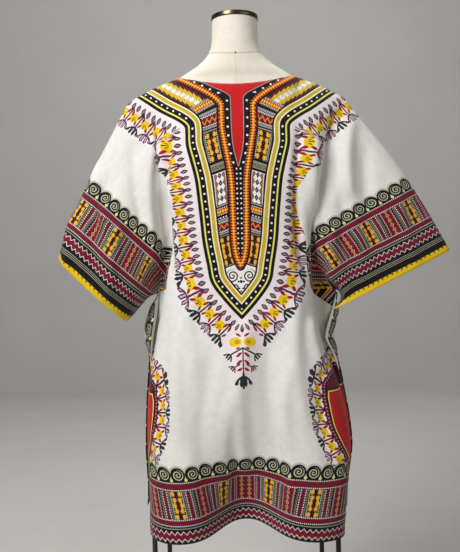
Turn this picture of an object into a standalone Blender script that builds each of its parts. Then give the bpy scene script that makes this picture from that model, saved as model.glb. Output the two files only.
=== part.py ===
"""Printed dashiki tunic on a limbless dress form with a four-legged stand.

The tunic is cut in one with its sleeves: a back panel and a front panel, T-shaped, joined along
the shoulders and over-arms and along the sides and under-arms.  A tie hangs from each side seam.
Each panel is a cloth wall whose middle surface is worked out row by row from short tables of
sizes.  X runs from the photographed left to right, the garment's back faces -Y, Z is up and the
floor is Z = 0.  Sizes are millimetres until a mesh is made.
"""

import math

import bmesh
import bpy
import numpy as np

MM = 0.001

# Driving dimensions, in millimetres
HEM_HEIGHT = 300.0          # hem above the floor
AXIS_X = -27.0              # middle of the form from the middle of the whole part's box
AXIS_Y = -5.0
WALL = 1.6                  # cloth with its turned edges
SEAM_GAP = 0.3
UNDERARM = 432.0            # heights from here down are above the hem
WEB_TOP = 545.0             # side cloth shows beyond the near fold's edge up to here
SHOULDER_TIP = (199.0, 784.0)
NECK_POINT = (110.0, 825.0)
NECK_BACK = (801.0, 60.0)   # height and depth of the neckline's middle, back
NECK_FRONT = (778.0, 62.0)
SEAM_ROUND = 8.0            # a side seam's edge is rounded by this much
TROUGH_BACK = 90.0          # the hem's deep middle fold on the back
TROUGH_WIDTH = 62.0

# Counts of rows and columns in each cloth grid
SIDE_COLUMNS = 14           # from the middle to a side
NECK_COLUMN = 8             # of those, as far as the neck point
WEB_SHARE = 3.0 / 14.0      # of those, beyond the fold edge
BODY_ROWS = 14
ARMHOLE_ROWS = 12           # close together towards the shoulder, where the cloth turns over
FIRST_ROW = 0.06            # the first of them, as a share of the way up
SLEEVE_ROWS = 9

# Body below and above the underarm: height, then the near fold's edge and the side seam for each
# side, then the depth back and front and the power of the section's curve
BODY_COLUMNS = ("h", "fold_l", "seam_l", "fold_r", "seam_r", "back", "front", "power")
BODY = (
    (-10, 172, 177, 176, 182, 116, 130, 4.0),
    (0, 172, 177, 176, 182, 116, 130, 4.0),
    (50, 171, 176, 180, 186, 117, 129, 4.0),
    (100, 172, 177, 185, 192, 118, 127, 4.0),
    (150, 173, 178, 190, 197, 119, 124, 3.8),
    (200, 172, 177, 186, 193, 121, 119, 3.3),
    (240, 170, 175, 179, 186, 122, 115, 3.0),
    (286, 164, 170, 164, 177, 121, 113, 2.8),
    (320, 158, 166, 150, 165, 118, 114, 2.7),
    (345, 154, 163, 142, 154, 114, 116, 2.7),
    (364, 151, 160, 138, 158, 111, 118, 2.7),
    (391, 145, 155, 134, 166, 107, 121, 2.7),
    (432, 138, 150, 129, 176, 103, 126, 2.7),
    (470, 133, 143, 127, 142, 101, 129, 2.7),
    (500, 132, 136, 126, 130, 101, 132, 2.7),
    (545, 131, 132, 127, 128, 101, 136, 2.7),
    (590, 134, 134, 133, 133, 102, 138, 2.8),
    (650, 138, 138, 147, 147, 101, 133, 3.0),
    (700, 143, 143, 158, 158, 96, 118, 3.0),
    (735, 150, 150, 168, 168, 90, 104, 2.8),
    (765, 172, 172, 182, 182, 84, 92, 2.4),
    (784, 199, 199, 199, 199, 80, 84, 2.2),
)

# The valley between body and sleeve: how far it stands out from the shirt's middle plane, and how
# far the sleeve's line does
VALLEY_COLUMNS = ("h", "valley", "armhole")
VALLEY = (
    (-10, 14, 0), (240, 14, 0), (320, 26, 0), (432, 32, 0), (452, 36, 19), (475, 40, 34),
    (500, 43, 42), (545, 46, 45), (650, 50, 50), (735, 46, 46), (784, 40, 40),
)

# How far the hem is lifted, against the share of the way from the middle to a side seam
LIFT_COLUMNS = ("share", "back", "front")
LIFT = (
    (-1, 0, 0), (-0.85, 13, 3), (-0.68, 9, 8), (-0.44, 7, 12), (-0.22, 13, 4), (0, 20, 2),
    (0.22, 13, 6), (0.48, 5, 12), (0.7, 2, 6), (0.85, -1, 0), (1, -5, -5),
)

# Sleeves: over-arm and under-arm lines, and the depth of the sleeve's half round them
SLEEVE_COLUMNS = ("t", "over_x", "over_y", "over_h", "under_x", "under_y", "under_h",
                  "near", "far")
SLEEVE_LEFT = (
    (0.0, 199, 0, 784, 150, 0, 432, 0, 0),
    (0.14, 220, 0, 744, 164, 0, 428, 12, 8),
    (0.5, 280, 0, 628, 186, 0, 408, 16, 10),
    (0.8, 315, 0, 552, 201, 0, 391, 8, 6),
    (1.0, 332, 0, 501, 210, 0, 382, 0, 0),
)
SLEEVE_RIGHT = (
    (0.0, 199, 0, 784, 176, 0, 432, 0, 0),
    (0.14, 216, 0, 760, 183, -2, 427, 10, 8),
    (0.5, 293, -3, 658, 186, -13, 413, 14, 10),
    (0.8, 352, -5, 562, 176, -22, 402, 6, 6),
    (1.0, 386, -6, 499, 165, -27, 395, 0, 0),
)
CUFF_DEPTH = {"left": (70.0, 66.0), "right": (23.0, 21.0)}

# Ties: height, then each edge's place outward of the side seam and in depth
TIE_COLUMNS = ("h", "near_out", "near_y", "far_out", "far_y")
TIE_LEFT = (
    (430, 2.2, -7, 2.2, 7), (420, 5, -12, 7, 12), (408, 7, -15, 15, 20), (391, 7, -16, 20, 24),
    (364, 6, -15, 22, 26), (345, 6, -13, 19, 30), (322, 5, -8, 12, 36), (300, 4, -2, 7, 42),
    (270, 3.5, 4, 4.5, 48), (230, 3.5, 8, 4, 52), (180, 4, 10, 5, 54), (130, 5, 12, 4, 55),
    (80, 4, 14, 5, 57), (36, 6, 15, 6, 58),
)
TIE_RIGHT = (
    (426, 2.2, -6, 2.2, 7), (418, 3, -7, 4, 11), (406, 4, -6, 9, 18), (391, 5, -10, 18, 25),
    (364, 5, -15, 20, 27), (345, 6, -13, 20, 31), (322, 5, -8, 16, 36), (300, 5, -2, 10, 42),
    (270, 4, 4, 5, 48), (230, 4, 8, 4, 52), (180, 4, 10, 5, 54), (130, 5, 12, 4, 55),
    (80, 4, 14, 5, 57), (28, 6, 15, 6, 58),
)
TIE_WALL = 1.2

# Dress form: height, half width, depth back and front, power of the section's curve
FORM_COLUMNS = ("h", "half", "back", "front", "power")
FORM = (
    (160, 134, 76, 80, 2.2), (166, 138, 80, 83, 2.2), (200, 150, 93, 89, 2.2),
    (245, 159, 107, 93, 2.2), (285, 160, 113, 94, 2.2), (330, 146, 108, 94, 2.2),
    (380, 131, 96, 93, 2.2), (430, 118, 88, 93, 2.2), (475, 113, 84, 95, 2.2),
    (520, 116, 86, 104, 2.2), (560, 122, 89, 118, 2.2), (600, 127, 92, 127, 2.2),
    (640, 131, 93, 120, 2.3), (680, 137, 90, 104, 2.4), (710, 144, 85, 91, 2.4),
    (740, 155, 76, 78, 2.4), (762, 164, 66, 67, 2.3), (780, 162, 57, 57, 2.2),
    (794, 150, 47, 48, 2.1), (808, 130.5, 41, 41, 2.0), (823, 109.5, 38, 37, 2.0),
    (834, 92.5, 41, 41, 2.0), (846, 73, 41, 42, 2.0), (861, 56, 41.5, 43, 2.0),
    (882, 45, 42, 44, 2.0), (905, 42.5, 42, 44.5, 2.0), (930, 42, 42, 44, 2.0),
)
FORM_POINTS_ROUND = 32
CAP_HEIGHT = 9.0
CAP_OVERHANG = 1.2

# Stand: a plate under the form on four round rods, each with a foot
PLATE_THICK = 11.0
PLATE_MARGIN = 6.0
PLATE_ROUND = 12.0
LEG_RADIUS = 4.6
NEAR_LEG = (163.0, -58.0)
FAR_LEG = (149.0, 90.0)
FOOT_RADIUS = 7.5
FOOT_HEIGHT = 14.0
TOUCH = 0.3


def smooth_table(rows, columns, at):
    """Return each column's value at `at`, on a smooth curve through the table's rows."""
    table = np.array(rows, float)
    keys = table[:, 0]
    at = min(max(at, keys[0]), keys[-1])
    i = int(min(max(np.searchsorted(keys, at, side="right") - 1, 0), len(keys) - 2))
    slopes = np.gradient(table, keys, axis=0)
    step = keys[i + 1] - keys[i]
    t = (at - keys[i]) / step
    rise = (table[i + 1] - table[i]) / step
    # Slopes are held back so that the curve never swings past its rows
    first, last = [np.where(rise * s <= 0, 0, np.sign(rise) * np.minimum(abs(s), 3 * abs(rise)))
                   for s in (slopes[i], slopes[i + 1])]
    value = ((1 + 2 * t) * (1 - t) ** 2 * table[i] + t * (1 - t) ** 2 * step * first
             + t * t * (3 - 2 * t) * table[i + 1] + t * t * (t - 1) * step * last)
    return dict(zip(columns, value))


def along(points, shares):
    """Return the points at these shares of a polyline's length."""
    points = np.array(points, float)
    steps = np.r_[0, np.cumsum(np.linalg.norm(np.diff(points, axis=0), axis=1))]
    places = np.array(shares) * steps[-1]
    return np.stack([np.interp(places, steps, points[:, k]) for k in range(points.shape[1])], 1)


def ease(a, b, x):
    """Rise smoothly from 0 at a to 1 at b."""
    t = min(max((x - a) / (b - a), 0.0), 1.0)
    return t * t * (3 - 2 * t)


def half_section(h, side, face):
    """Return one side's half of a level section, middle to side, as outward x and depth."""
    row = smooth_table(BODY, BODY_COLUMNS, h)
    deep = smooth_table(VALLEY, VALLEY_COLUMNS, h)
    fold, end = row["fold_" + side[0]], row["seam_" + side[0]]
    depth, valley, out = row[face], deep["valley"], deep["armhole"]
    power = 2.0 / row["power"]
    turn = np.linspace(0, math.pi / 2, 60)
    main = np.stack([fold * np.sin(turn) ** power,
                     valley + (depth - valley) * np.clip(np.cos(turn), 0, 1) ** power], 1)
    web = 0.0
    web_line = []
    if h < WEB_TOP:
        # From the fold's edge in to the valley, then out along the side cloth to the seam
        rim = max(SEAM_ROUND, out)
        last = np.array([end - max(SEAM_ROUND - out, 0), rim])
        knots = (np.array([fold, valley]), np.array([fold, valley - 0.8 * (valley - rim)]),
                 np.array([fold + 0.3 * (last[0] - fold), rim]), last)
        for t in np.linspace(0, 1, 16):
            web_line.append((1 - t) ** 3 * knots[0] + 3 * t * (1 - t) ** 2 * knots[1]
                            + 3 * t * t * (1 - t) * knots[2] + t ** 3 * knots[3])
        if out < SEAM_ROUND:
            for angle in np.linspace(0, math.pi / 2, 8)[1:]:
                web_line.append(np.array([last[0] + (end - last[0]) * math.sin(angle),
                                          out + (rim - out) * math.cos(angle)]))
        web = WEB_SHARE * (1 - ease(UNDERARM, WEB_TOP, h))
    shares = np.linspace(0, 1, SIDE_COLUMNS + 1)
    split = 1 - web
    inner = shares[shares <= split + 1e-9]
    outer = shares[shares > split + 1e-9]
    points = along(main, np.minimum(inner / split, 1))
    if len(outer):
        points = np.r_[points, along(web_line, (outer - split) / web)]
    return points


def top_edge(face):
    """Return the neckline and shoulder of one side as outward x, depth and height."""
    middle_h, middle_y = NECK_BACK if face == "back" else NECK_FRONT
    turn = np.linspace(0, math.pi / 2, 60)
    neck = np.stack([NECK_POINT[0] * np.sin(turn), middle_y * np.cos(turn)], 1)
    neck = along(neck, np.linspace(0, 1, NECK_COLUMN + 1))
    drop = (neck[:, 0] / NECK_POINT[0]) ** 2
    neck = np.c_[neck, middle_h + (NECK_POINT[1] - middle_h) * drop]
    share = np.linspace(0, 1, SIDE_COLUMNS - NECK_COLUMN + 1)[1:]
    shoulder = np.c_[NECK_POINT[0] + share * (SHOULDER_TIP[0] - NECK_POINT[0]), share * 0,
                     NECK_POINT[1] + share * (SHOULDER_TIP[1] - NECK_POINT[1])
                     + 3 * np.sin(math.pi * share)]
    return np.r_[neck, shoulder]


def hem_folds(x, h, face):
    """Return how far the hem's folds push this point in, the fold running out upward."""
    if face == "back":
        deep = TROUGH_BACK * (1 - ease(-40, 330, h)) ** 1.3
        return deep * math.exp(-((x - 0.03 * h) / TROUGH_WIDTH) ** 2)
    fade = 1 - ease(0, 340, h)
    return fade * (30 * math.exp(-((x + 62) / 34) ** 2) + 24 * math.exp(-((x - 48) / 30) ** 2)
                   + 10 * math.exp(-((x - 118) / 26) ** 2))


def body_grid(face):
    """Return one panel's body as rows of points, hem to shoulder, left side to right side."""
    sign = -1 if face == "back" else 1
    rows = []
    for h in np.linspace(0, UNDERARM, BODY_ROWS + 1):
        halves = {side: half_section(h, side, face) for side in ("left", "right")}
        left = halves["left"][::-1] * (-1, 1)
        line = np.r_[left, halves["right"][1:]]
        row = []
        for share, (x, depth) in zip(np.linspace(-1, 1, 2 * SIDE_COLUMNS + 1), line):
            lift = smooth_table(LIFT, LIFT_COLUMNS, share)[face] * (1 - h / UNDERARM)
            inward = hem_folds(x, h, face) * (1 - share ** 8)
            row.append((x, sign * (depth - inward), h + lift))
        rows.append(row)
    top = top_edge(face)
    for turn in np.linspace(0, math.pi / 2, ARMHOLE_ROWS):
        v = FIRST_ROW + (1 - FIRST_ROW) * math.sin(turn)
        h = UNDERARM + v * (SHOULDER_TIP[1] - UNDERARM)
        arch = (1 - v ** 4) ** 0.5
        merge = ease(0.84, 1, v)
        halves = []
        for side, way in (("left", -1), ("right", 1)):
            low = half_section(h, side, face)
            out = low[:, 0] + (top[:, 0] - low[:, 0]) * merge
            depth = top[:, 1] + (low[:, 1] - top[:, 1]) * arch
            height = UNDERARM + v * (top[:, 2] - UNDERARM)
            halves.append(np.c_[way * out, sign * depth, height])
        rows.append(np.r_[halves[0][::-1], halves[1][1:]])
    return np.array(rows)


def sleeve_grid(body, face, side):
    """Return half a sleeve as rows from the armhole to the cuff, each from over-arm to under-arm."""
    way = -1 if side == "left" else 1
    sign = -1 if face == "back" else 1
    table = SLEEVE_LEFT if side == "left" else SLEEVE_RIGHT
    cuff_deep = CUFF_DEPTH[side][0 if face == "back" else 1]
    column = 0 if side == "left" else -1
    armhole = body[BODY_ROWS:, column][::-1]
    start, end = armhole[0], armhole[-1]
    chord = end - start
    share = (armhole - start) @ chord / (chord @ chord)
    off = armhole - start - share[:, None] * chord
    turn = math.pi * np.linspace(0, 1, ARMHOLE_ROWS + 1)
    cuff_share = (1 - np.cos(turn)) / 2
    rows = []
    for t in np.linspace(0, 1, SLEEVE_ROWS + 1):
        row = smooth_table(table, SLEEVE_COLUMNS, t)
        over = np.array([way * row["over_x"], row["over_y"], row["over_h"]])
        under = np.array([way * row["under_x"], row["under_y"], row["under_h"]])
        mix = ease(-0.15, 1, t) if t > 0 else 0
        place = share * (1 - mix) + cuff_share * mix
        puff = row["near"] if face == "back" else row["far"]
        out = sign * (cuff_deep * mix + puff) * np.abs(np.sin(turn)) ** 0.75
        points = over + place[:, None] * (under - over) + off * (1 - mix)
        points[:, 1] += out
        rows.append(points)
    rows[0] = armhole
    return np.array(rows)


def grid_faces(start, rows, columns, flip):
    """Return a grid's quads as point numbers from `start`."""
    faces = []
    for i in range(rows - 1):
        for j in range(columns - 1):
            a = start + i * columns + j
            quad = (a, a + 1, a + columns + 1, a + columns)
            faces.append(quad[::-1] if flip else quad)
    return faces


def panel_surface(face):
    """Return a panel's middle surface, body and both half sleeves, as points and quads."""
    body = body_grid(face)
    back = face == "back"
    points, faces = [], []
    pieces = [(body, not back)]
    pieces += [(sleeve_grid(body, face, side), (side == "right") != back)
               for side in ("left", "right")]
    for grid, flip in pieces:
        faces += grid_faces(len(points), grid.shape[0], grid.shape[1], flip)
        points += [tuple(p) for p in grid.reshape(-1, 3)]
    place = {}
    renumber = []
    for p in points:
        key = tuple(np.round(p, 4))
        renumber.append(place.setdefault(key, len(place)))
    return np.array(list(place), float), [tuple(renumber[i] for i in f) for f in faces]


def corner_normals(surfaces):
    """Return each surface's point normals, shared where two surfaces meet at a seam."""
    total, count = {}, {}
    for points, faces in surfaces:
        for quad in faces:
            a, b, c, d = (points[i] for i in quad)
            normal = np.cross(c - a, d - b)
            normal /= np.linalg.norm(normal)
            for i in quad:
                key = tuple(np.round(points[i], 3))
                total[key] = total.get(key, 0) + normal
        for p in points:
            key = tuple(np.round(p, 3))
            count[key] = count.get(key, 0) + 1
    results = []
    for points, _ in surfaces:
        keys = [tuple(np.round(p, 3)) for p in points]
        normals = np.array([total[k] / np.linalg.norm(total[k]) for k in keys])
        results.append((normals, [count[k] > 1 for k in keys]))
    return results


def cloth_wall(points, faces, normals, seamed, thick):
    """Return a closed wall round a middle surface, drawn back by half the gap at its seams."""
    edges = {}
    centres = {}
    for quad in faces:
        middle = points[list(quad)].mean(0)
        for i in quad:
            centres.setdefault(i, []).append(middle)
        for a, b in zip(quad, quad[1:] + quad[:1]):
            edges[(a, b)] = True
    rim = [(a, b) for a, b in edges if (b, a) not in edges]
    beside = {}
    for a, b in rim:
        beside.setdefault(a, []).append(b)
        beside.setdefault(b, []).append(a)
    moved = points.copy()
    for i, near in beside.items():
        if not seamed[i]:
            continue
        inward = np.mean(centres[i], 0) - points[i]
        line = points[near[0]] - points[near[1]]
        line /= np.linalg.norm(line)
        inward -= (inward @ line) * line
        inward -= (inward @ normals[i]) * normals[i]
        moved[i] = points[i] + inward / np.linalg.norm(inward) * SEAM_GAP / 2
    count = len(points)
    both = np.r_[moved + normals * thick / 2, moved - normals * thick / 2]
    # Each quad is split along its shorter diagonal, the same one outside and inside
    halves = []
    for a, b, c, d in faces:
        if np.linalg.norm(points[a] - points[c]) <= np.linalg.norm(points[b] - points[d]):
            halves += [(a, b, c), (a, c, d)]
        else:
            halves += [(a, b, d), (b, c, d)]
    solid = halves + [tuple(i + count for i in f[::-1]) for f in halves]
    solid += [(b, a, a + count, b + count) for a, b in rim]
    return both, solid


def add_object(name, points, faces, material):
    """Make one closed mesh object, its points in millimetres from the form's foot."""
    mesh = bpy.data.meshes.new(name)
    place = (np.array(points, float) + (AXIS_X, AXIS_Y, 0)) * MM
    mesh.from_pydata([tuple(p) for p in place], [], [tuple(f) for f in faces])
    shape = bmesh.new()
    shape.from_mesh(mesh)
    bmesh.ops.triangulate(shape, faces=shape.faces)
    bmesh.ops.recalc_face_normals(shape, faces=shape.faces)
    shape.to_mesh(mesh)
    shape.free()
    mesh.shade_smooth()
    mesh.set_sharp_from_angle(angle=math.radians(40))
    mesh.materials.append(material)
    thing = bpy.data.objects.new(name, mesh)
    bpy.context.scene.collection.objects.link(thing)
    return thing


def finish(name, colour, roughness, metallic=0.0):
    """Make a plain material."""
    material = bpy.data.materials.new(name)
    material.use_nodes = True
    shader = material.node_tree.nodes["Principled BSDF"]
    shader.inputs["Base Color"].default_value = (*colour, 1.0)
    shader.inputs["Roughness"].default_value = roughness
    shader.inputs["Metallic"].default_value = metallic
    return material


def rise(points):
    """Lift points from heights above the hem to heights above the floor."""
    return np.array(points, float) + (0, 0, HEM_HEIGHT)


def build_panels(material):
    """Build the back and front panels of the tunic."""
    surfaces = [panel_surface(face) for face in ("back", "front")]
    for name, (points, faces), (normals, seamed) in zip(
            ("back_panel", "front_panel"), surfaces, corner_normals(surfaces)):
        wall, solid = cloth_wall(points, faces, normals, seamed, WALL)
        add_object(name, rise(wall), solid, material)


def build_tie(name, side, rows, material):
    """Build one tie, a strip from its seam down past the hip."""
    way = -1 if side == "left" else 1
    edges = []
    for h in np.linspace(rows[0][0], rows[-1][0], 26):
        flat = [(-r[0], *r[1:]) for r in rows]
        row = smooth_table(flat, TIE_COLUMNS, -h)
        seam = smooth_table(BODY, BODY_COLUMNS, h)["seam_" + side[0]]
        edges.append([(way * (seam + row["near_out"]), row["near_y"], h),
                      (way * (seam + row["far_out"]), row["far_y"], h)])
    points = np.array([[a, (np.array(a) + b) / 2, b] for a, b in edges]).reshape(-1, 3)
    faces = grid_faces(0, len(edges), 3, way < 0)
    (normals, _), = corner_normals([(points, faces)])
    wall, solid = cloth_wall(points, faces, normals, [False] * len(points), TIE_WALL)
    add_object(name, rise(wall), solid, material)


def ring(h, half, back, front, power, count):
    """Return a level closed section of the form."""
    points = []
    for k in range(count):
        turn = 2 * math.pi * k / count
        c, s = math.cos(turn), math.sin(turn)
        depth = front if s > 0 else back
        points.append((half * math.copysign(abs(c) ** (2 / power), c),
                       depth * math.copysign(abs(s) ** (2 / power), s), h))
    return points


def loft(rings):
    """Return a closed skin over level rings, bottom to top."""
    count = len(rings[0])
    points = [p for level in rings for p in level]
    faces = [tuple(reversed(range(count)))]
    for i in range(len(rings) - 1):
        for j in range(count):
            k = (j + 1) % count
            faces.append((i * count + j, i * count + k, (i + 1) * count + k, (i + 1) * count + j))
    faces.append(tuple(range((len(rings) - 1) * count, len(rings) * count)))
    return points, faces


def build_form(cloth, metal):
    """Build the form's padded body with its neck, and the cap on the neck."""
    rings = [ring(**dict(zip(FORM_COLUMNS, row)), count=FORM_POINTS_ROUND) for row in FORM]
    points, faces = loft(rings)
    add_object("form_torso", rise(points), faces, cloth)
    h, half, back, front, power = FORM[-1]
    half, back, front = (v + CAP_OVERHANG for v in (half, back, front))
    low = h + TOUCH
    levels = ((low, 0), (low + CAP_HEIGHT - 3, 0), (low + CAP_HEIGHT - 1, 1.2),
              (low + CAP_HEIGHT, 4), (low + CAP_HEIGHT + 3, 18), (low + CAP_HEIGHT + 4, 30))
    rings = [ring(level, half - d, back - d, front - d, power, 28) for level, d in levels]
    points, faces = loft(rings)
    add_object("neck_cap", rise(points), faces, metal)


def disc(x, y, radius, h, count=14):
    """Return a level circle of points."""
    turns = np.arange(count) * 2 * math.pi / count
    return [(x + radius * math.cos(a), y + radius * math.sin(a), h) for a in turns]


def build_stand(metal, rubber):
    """Build the plate under the form, its four legs and their feet."""
    top = FORM[0][0] - TOUCH
    corners = [(-FAR_LEG[0], FAR_LEG[1]), (-NEAR_LEG[0], NEAR_LEG[1]), NEAR_LEG, FAR_LEG]
    reach = PLATE_ROUND - PLATE_MARGIN
    outline = []
    for index, (x, y) in enumerate(corners):
        cx, cy = x - math.copysign(reach, x), y - math.copysign(reach, y)
        first = math.pi / 2 + index * math.pi / 2
        for step in range(5):
            turn = first + step * math.pi / 8
            outline.append((cx + PLATE_ROUND * math.cos(turn), cy + PLATE_ROUND * math.sin(turn)))
    levels = (top - PLATE_THICK, top)
    points, faces = loft([[(x, y, h) for x, y in outline] for h in levels])
    add_object("stand_plate", rise(points), faces, metal)
    for name, (x, y) in zip(("far_left", "near_left", "near_right", "far_right"), corners):
        under = top - PLATE_THICK - TOUCH + HEM_HEIGHT
        rings = [disc(x, y, LEG_RADIUS, h) for h in (FOOT_HEIGHT + TOUCH, under)]
        add_object("leg_" + name, *loft(rings), metal)
        levels = ((0, FOOT_RADIUS - 0.8), (0.8, FOOT_RADIUS), (FOOT_HEIGHT - 3, FOOT_RADIUS - 1.2),
                  (FOOT_HEIGHT, LEG_RADIUS + 0.8))
        rings = [disc(x, y, radius, h) for h, radius in levels]
        add_object("foot_" + name, *loft(rings), rubber)


def main():
    """Clear the file and build every piece."""
    for thing in list(bpy.data.objects):
        bpy.data.objects.remove(thing, do_unlink=True)
    cotton = finish("printed_cotton", (0.72, 0.69, 0.64), 0.85)
    cover = finish("form_cloth", (0.84, 0.79, 0.68), 0.8)
    metal = finish("black_metal", (0.03, 0.03, 0.03), 0.4, 0.8)
    rubber = finish("rubber", (0.02, 0.02, 0.02), 0.7)
    build_panels(cotton)
    build_tie("tie_left", "left", TIE_LEFT, cotton)
    build_tie("tie_right", "right", TIE_RIGHT, cotton)
    build_form(cover, metal)
    build_stand(metal, rubber)


main()
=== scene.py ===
"""Looks of a printed dashiki tunic on a limbless dress form with a slim stand.

Lengths in the tables are millimetres: x runs from the form's middle, heights from the tunic's hem.
Each cloth panel repeats the solids' own surface more finely, gets creases, and carries distances to
its print's outlines as mesh attributes, from which the materials draw the print.
"""

import functools
import logging
import math
from dataclasses import dataclass
from enum import Enum
from typing import Any, Callable, Iterable, Sequence, Union

import bmesh
import bpy
import numpy as np
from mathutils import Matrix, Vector


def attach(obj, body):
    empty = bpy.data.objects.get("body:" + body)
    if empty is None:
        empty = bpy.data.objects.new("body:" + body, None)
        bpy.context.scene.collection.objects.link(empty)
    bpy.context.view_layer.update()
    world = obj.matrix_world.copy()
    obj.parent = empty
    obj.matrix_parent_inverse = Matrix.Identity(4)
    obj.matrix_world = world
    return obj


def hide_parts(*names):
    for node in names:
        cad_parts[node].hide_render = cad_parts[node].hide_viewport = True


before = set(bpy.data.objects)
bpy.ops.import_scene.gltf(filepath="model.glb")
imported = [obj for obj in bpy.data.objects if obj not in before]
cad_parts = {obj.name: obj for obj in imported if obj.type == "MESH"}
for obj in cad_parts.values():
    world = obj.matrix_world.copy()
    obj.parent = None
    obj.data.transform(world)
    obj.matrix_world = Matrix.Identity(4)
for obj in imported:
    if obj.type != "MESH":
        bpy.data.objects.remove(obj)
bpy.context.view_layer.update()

LOG = logging.getLogger("tunic")
MM = 0.001
AXIS = np.array((-27.0, -5.0, 300.0))       # the form's foot and the hem's height in the frame
HEM_HEIGHT = 300.0
UNDERARM = 432.0
WEB_TOP = 545.0
SHOULDER_TIP = (199.0, 784.0)
NECK_POINT = (110.0, 825.0)
NECK_MIDDLE = {"back": (801.0, 60.0), "front": (778.0, 62.0)}
SEAM_ROUND = 8.0
TROUGH_BACK = 90.0
TROUGH_WIDTH = 62.0
SIDE_COLUMNS = 56
NECK_COLUMN = 32
WEB_SHARE = 3.0 / 14.0
BODY_ROWS = 84
ARMHOLE_ROWS = 72
SLEEVE_ROWS = 54
CLOTH_THICK = 1.1
FAR_AWAY = 400.0
RIDGE_HEIGHT = 2.7          # times each ridge's own height
TROUGH_DEPTH = 2.3          # times each trough's own depth
HALF_GAP = 0.15             # each panel stops this short of a seam's line
FAN_RADIUS = 20.0           # how fast a print's run turns round its tip


@dataclass(frozen=True)
class Table:
    """A short table of sizes, read on a smooth curve through its rows."""

    columns: tuple[str, ...]
    rows: tuple[tuple[float, ...], ...]

    def at(self, values: Any) -> dict[str, np.ndarray]:
        """Read every column at the given values of the first.

        Args:
            values: One number or many.

        Returns:
            Each column's name with its values there.
        """
        table = np.array(self.rows, float)
        keys = table[:, 0]
        values = np.clip(np.atleast_1d(np.asarray(values, float)), keys[0], keys[-1])
        i = np.clip(np.searchsorted(keys, values, side="right") - 1, 0, len(keys) - 2)
        slopes = np.gradient(table, keys, axis=0)
        step = (keys[i + 1] - keys[i])[:, None]
        t = (values - keys[i])[:, None] / step
        rise = (table[i + 1] - table[i]) / step
        first, last = (np.where(rise * s <= 0, 0, np.sign(rise) * np.minimum(abs(s), 3 * abs(rise)))
                       for s in (slopes[i], slopes[i + 1]))
        curve = ((1 + 2 * t) * (1 - t) ** 2 * table[i] + t * (1 - t) ** 2 * step * first
                 + t * t * (3 - 2 * t) * table[i + 1] + t * t * (t - 1) * step * last)
        return {name: curve[:, k] for k, name in enumerate(self.columns)}


BODY = Table(("h", "fold_l", "seam_l", "fold_r", "seam_r", "back", "front", "power"), (
    (-10, 172, 177, 176, 182, 116, 130, 4.0), (0, 172, 177, 176, 182, 116, 130, 4.0),
    (50, 171, 176, 180, 186, 117, 129, 4.0), (100, 172, 177, 185, 192, 118, 127, 4.0),
    (150, 173, 178, 190, 197, 119, 124, 3.8), (200, 172, 177, 186, 193, 121, 119, 3.3),
    (240, 170, 175, 179, 186, 122, 115, 3.0), (286, 164, 170, 164, 177, 121, 113, 2.8),
    (320, 158, 166, 150, 165, 118, 114, 2.7), (345, 154, 163, 142, 154, 114, 116, 2.7),
    (364, 151, 160, 138, 158, 111, 118, 2.7), (391, 145, 155, 134, 166, 107, 121, 2.7),
    (432, 138, 150, 129, 176, 103, 126, 2.7), (470, 133, 143, 127, 142, 101, 129, 2.7),
    (500, 132, 136, 126, 130, 101, 132, 2.7), (545, 131, 132, 127, 128, 101, 136, 2.7),
    (590, 134, 134, 133, 133, 102, 138, 2.8), (650, 138, 138, 147, 147, 101, 133, 3.0),
    (700, 143, 143, 158, 158, 96, 118, 3.0), (735, 150, 150, 168, 168, 90, 104, 2.8),
    (765, 172, 172, 182, 182, 84, 92, 2.4), (784, 199, 199, 199, 199, 80, 84, 2.2),
))
VALLEY = Table(("h", "valley", "armhole"), (
    (-10, 14, 0), (240, 14, 0), (320, 26, 0), (432, 32, 0), (452, 36, 19), (475, 40, 34),
    (500, 43, 42), (545, 46, 45), (650, 50, 50), (735, 46, 46), (784, 40, 40),
))
LIFT = Table(("share", "back", "front"), (
    (-1, 0, 0), (-0.85, 17, 3), (-0.66, 10, 8), (-0.42, 1, 12), (-0.24, 5, 4), (0, 20, 2),
    (0.24, 5, 6), (0.42, -1, 12), (0.68, -1, 6), (0.85, -3, 0), (1, -5, -5),
))
SLEEVE_COLUMNS = ("t", "over_x", "over_y", "over_h", "under_x", "under_y", "under_h", "near", "far")
SLEEVES = {
    "left": Table(SLEEVE_COLUMNS, (
        (0.0, 199, 0, 784, 150, 0, 432, 0, 0), (0.14, 220, 0, 744, 164, 0, 428, 12, 8),
        (0.5, 280, 0, 628, 186, 0, 408, 16, 10), (0.8, 315, 0, 552, 201, 0, 391, 8, 6),
        (1.0, 332, 0, 501, 210, 0, 382, 0, 0),
    )),
    "right": Table(SLEEVE_COLUMNS, (
        (0.0, 199, 0, 784, 176, 0, 432, 0, 0), (0.14, 216, 0, 760, 183, -2, 427, 10, 8),
        (0.5, 293, -3, 658, 186, -13, 413, 14, 10), (0.8, 352, -5, 562, 176, -22, 402, 6, 6),
        (1.0, 386, -6, 499, 165, -27, 395, 0, 0),
    )),
}
CUFF_DEPTH = {"left": (70.0, 66.0), "right": (23.0, 21.0)}
TIE_COLUMNS = ("drop", "near_out", "near_y", "far_out", "far_y")
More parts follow.
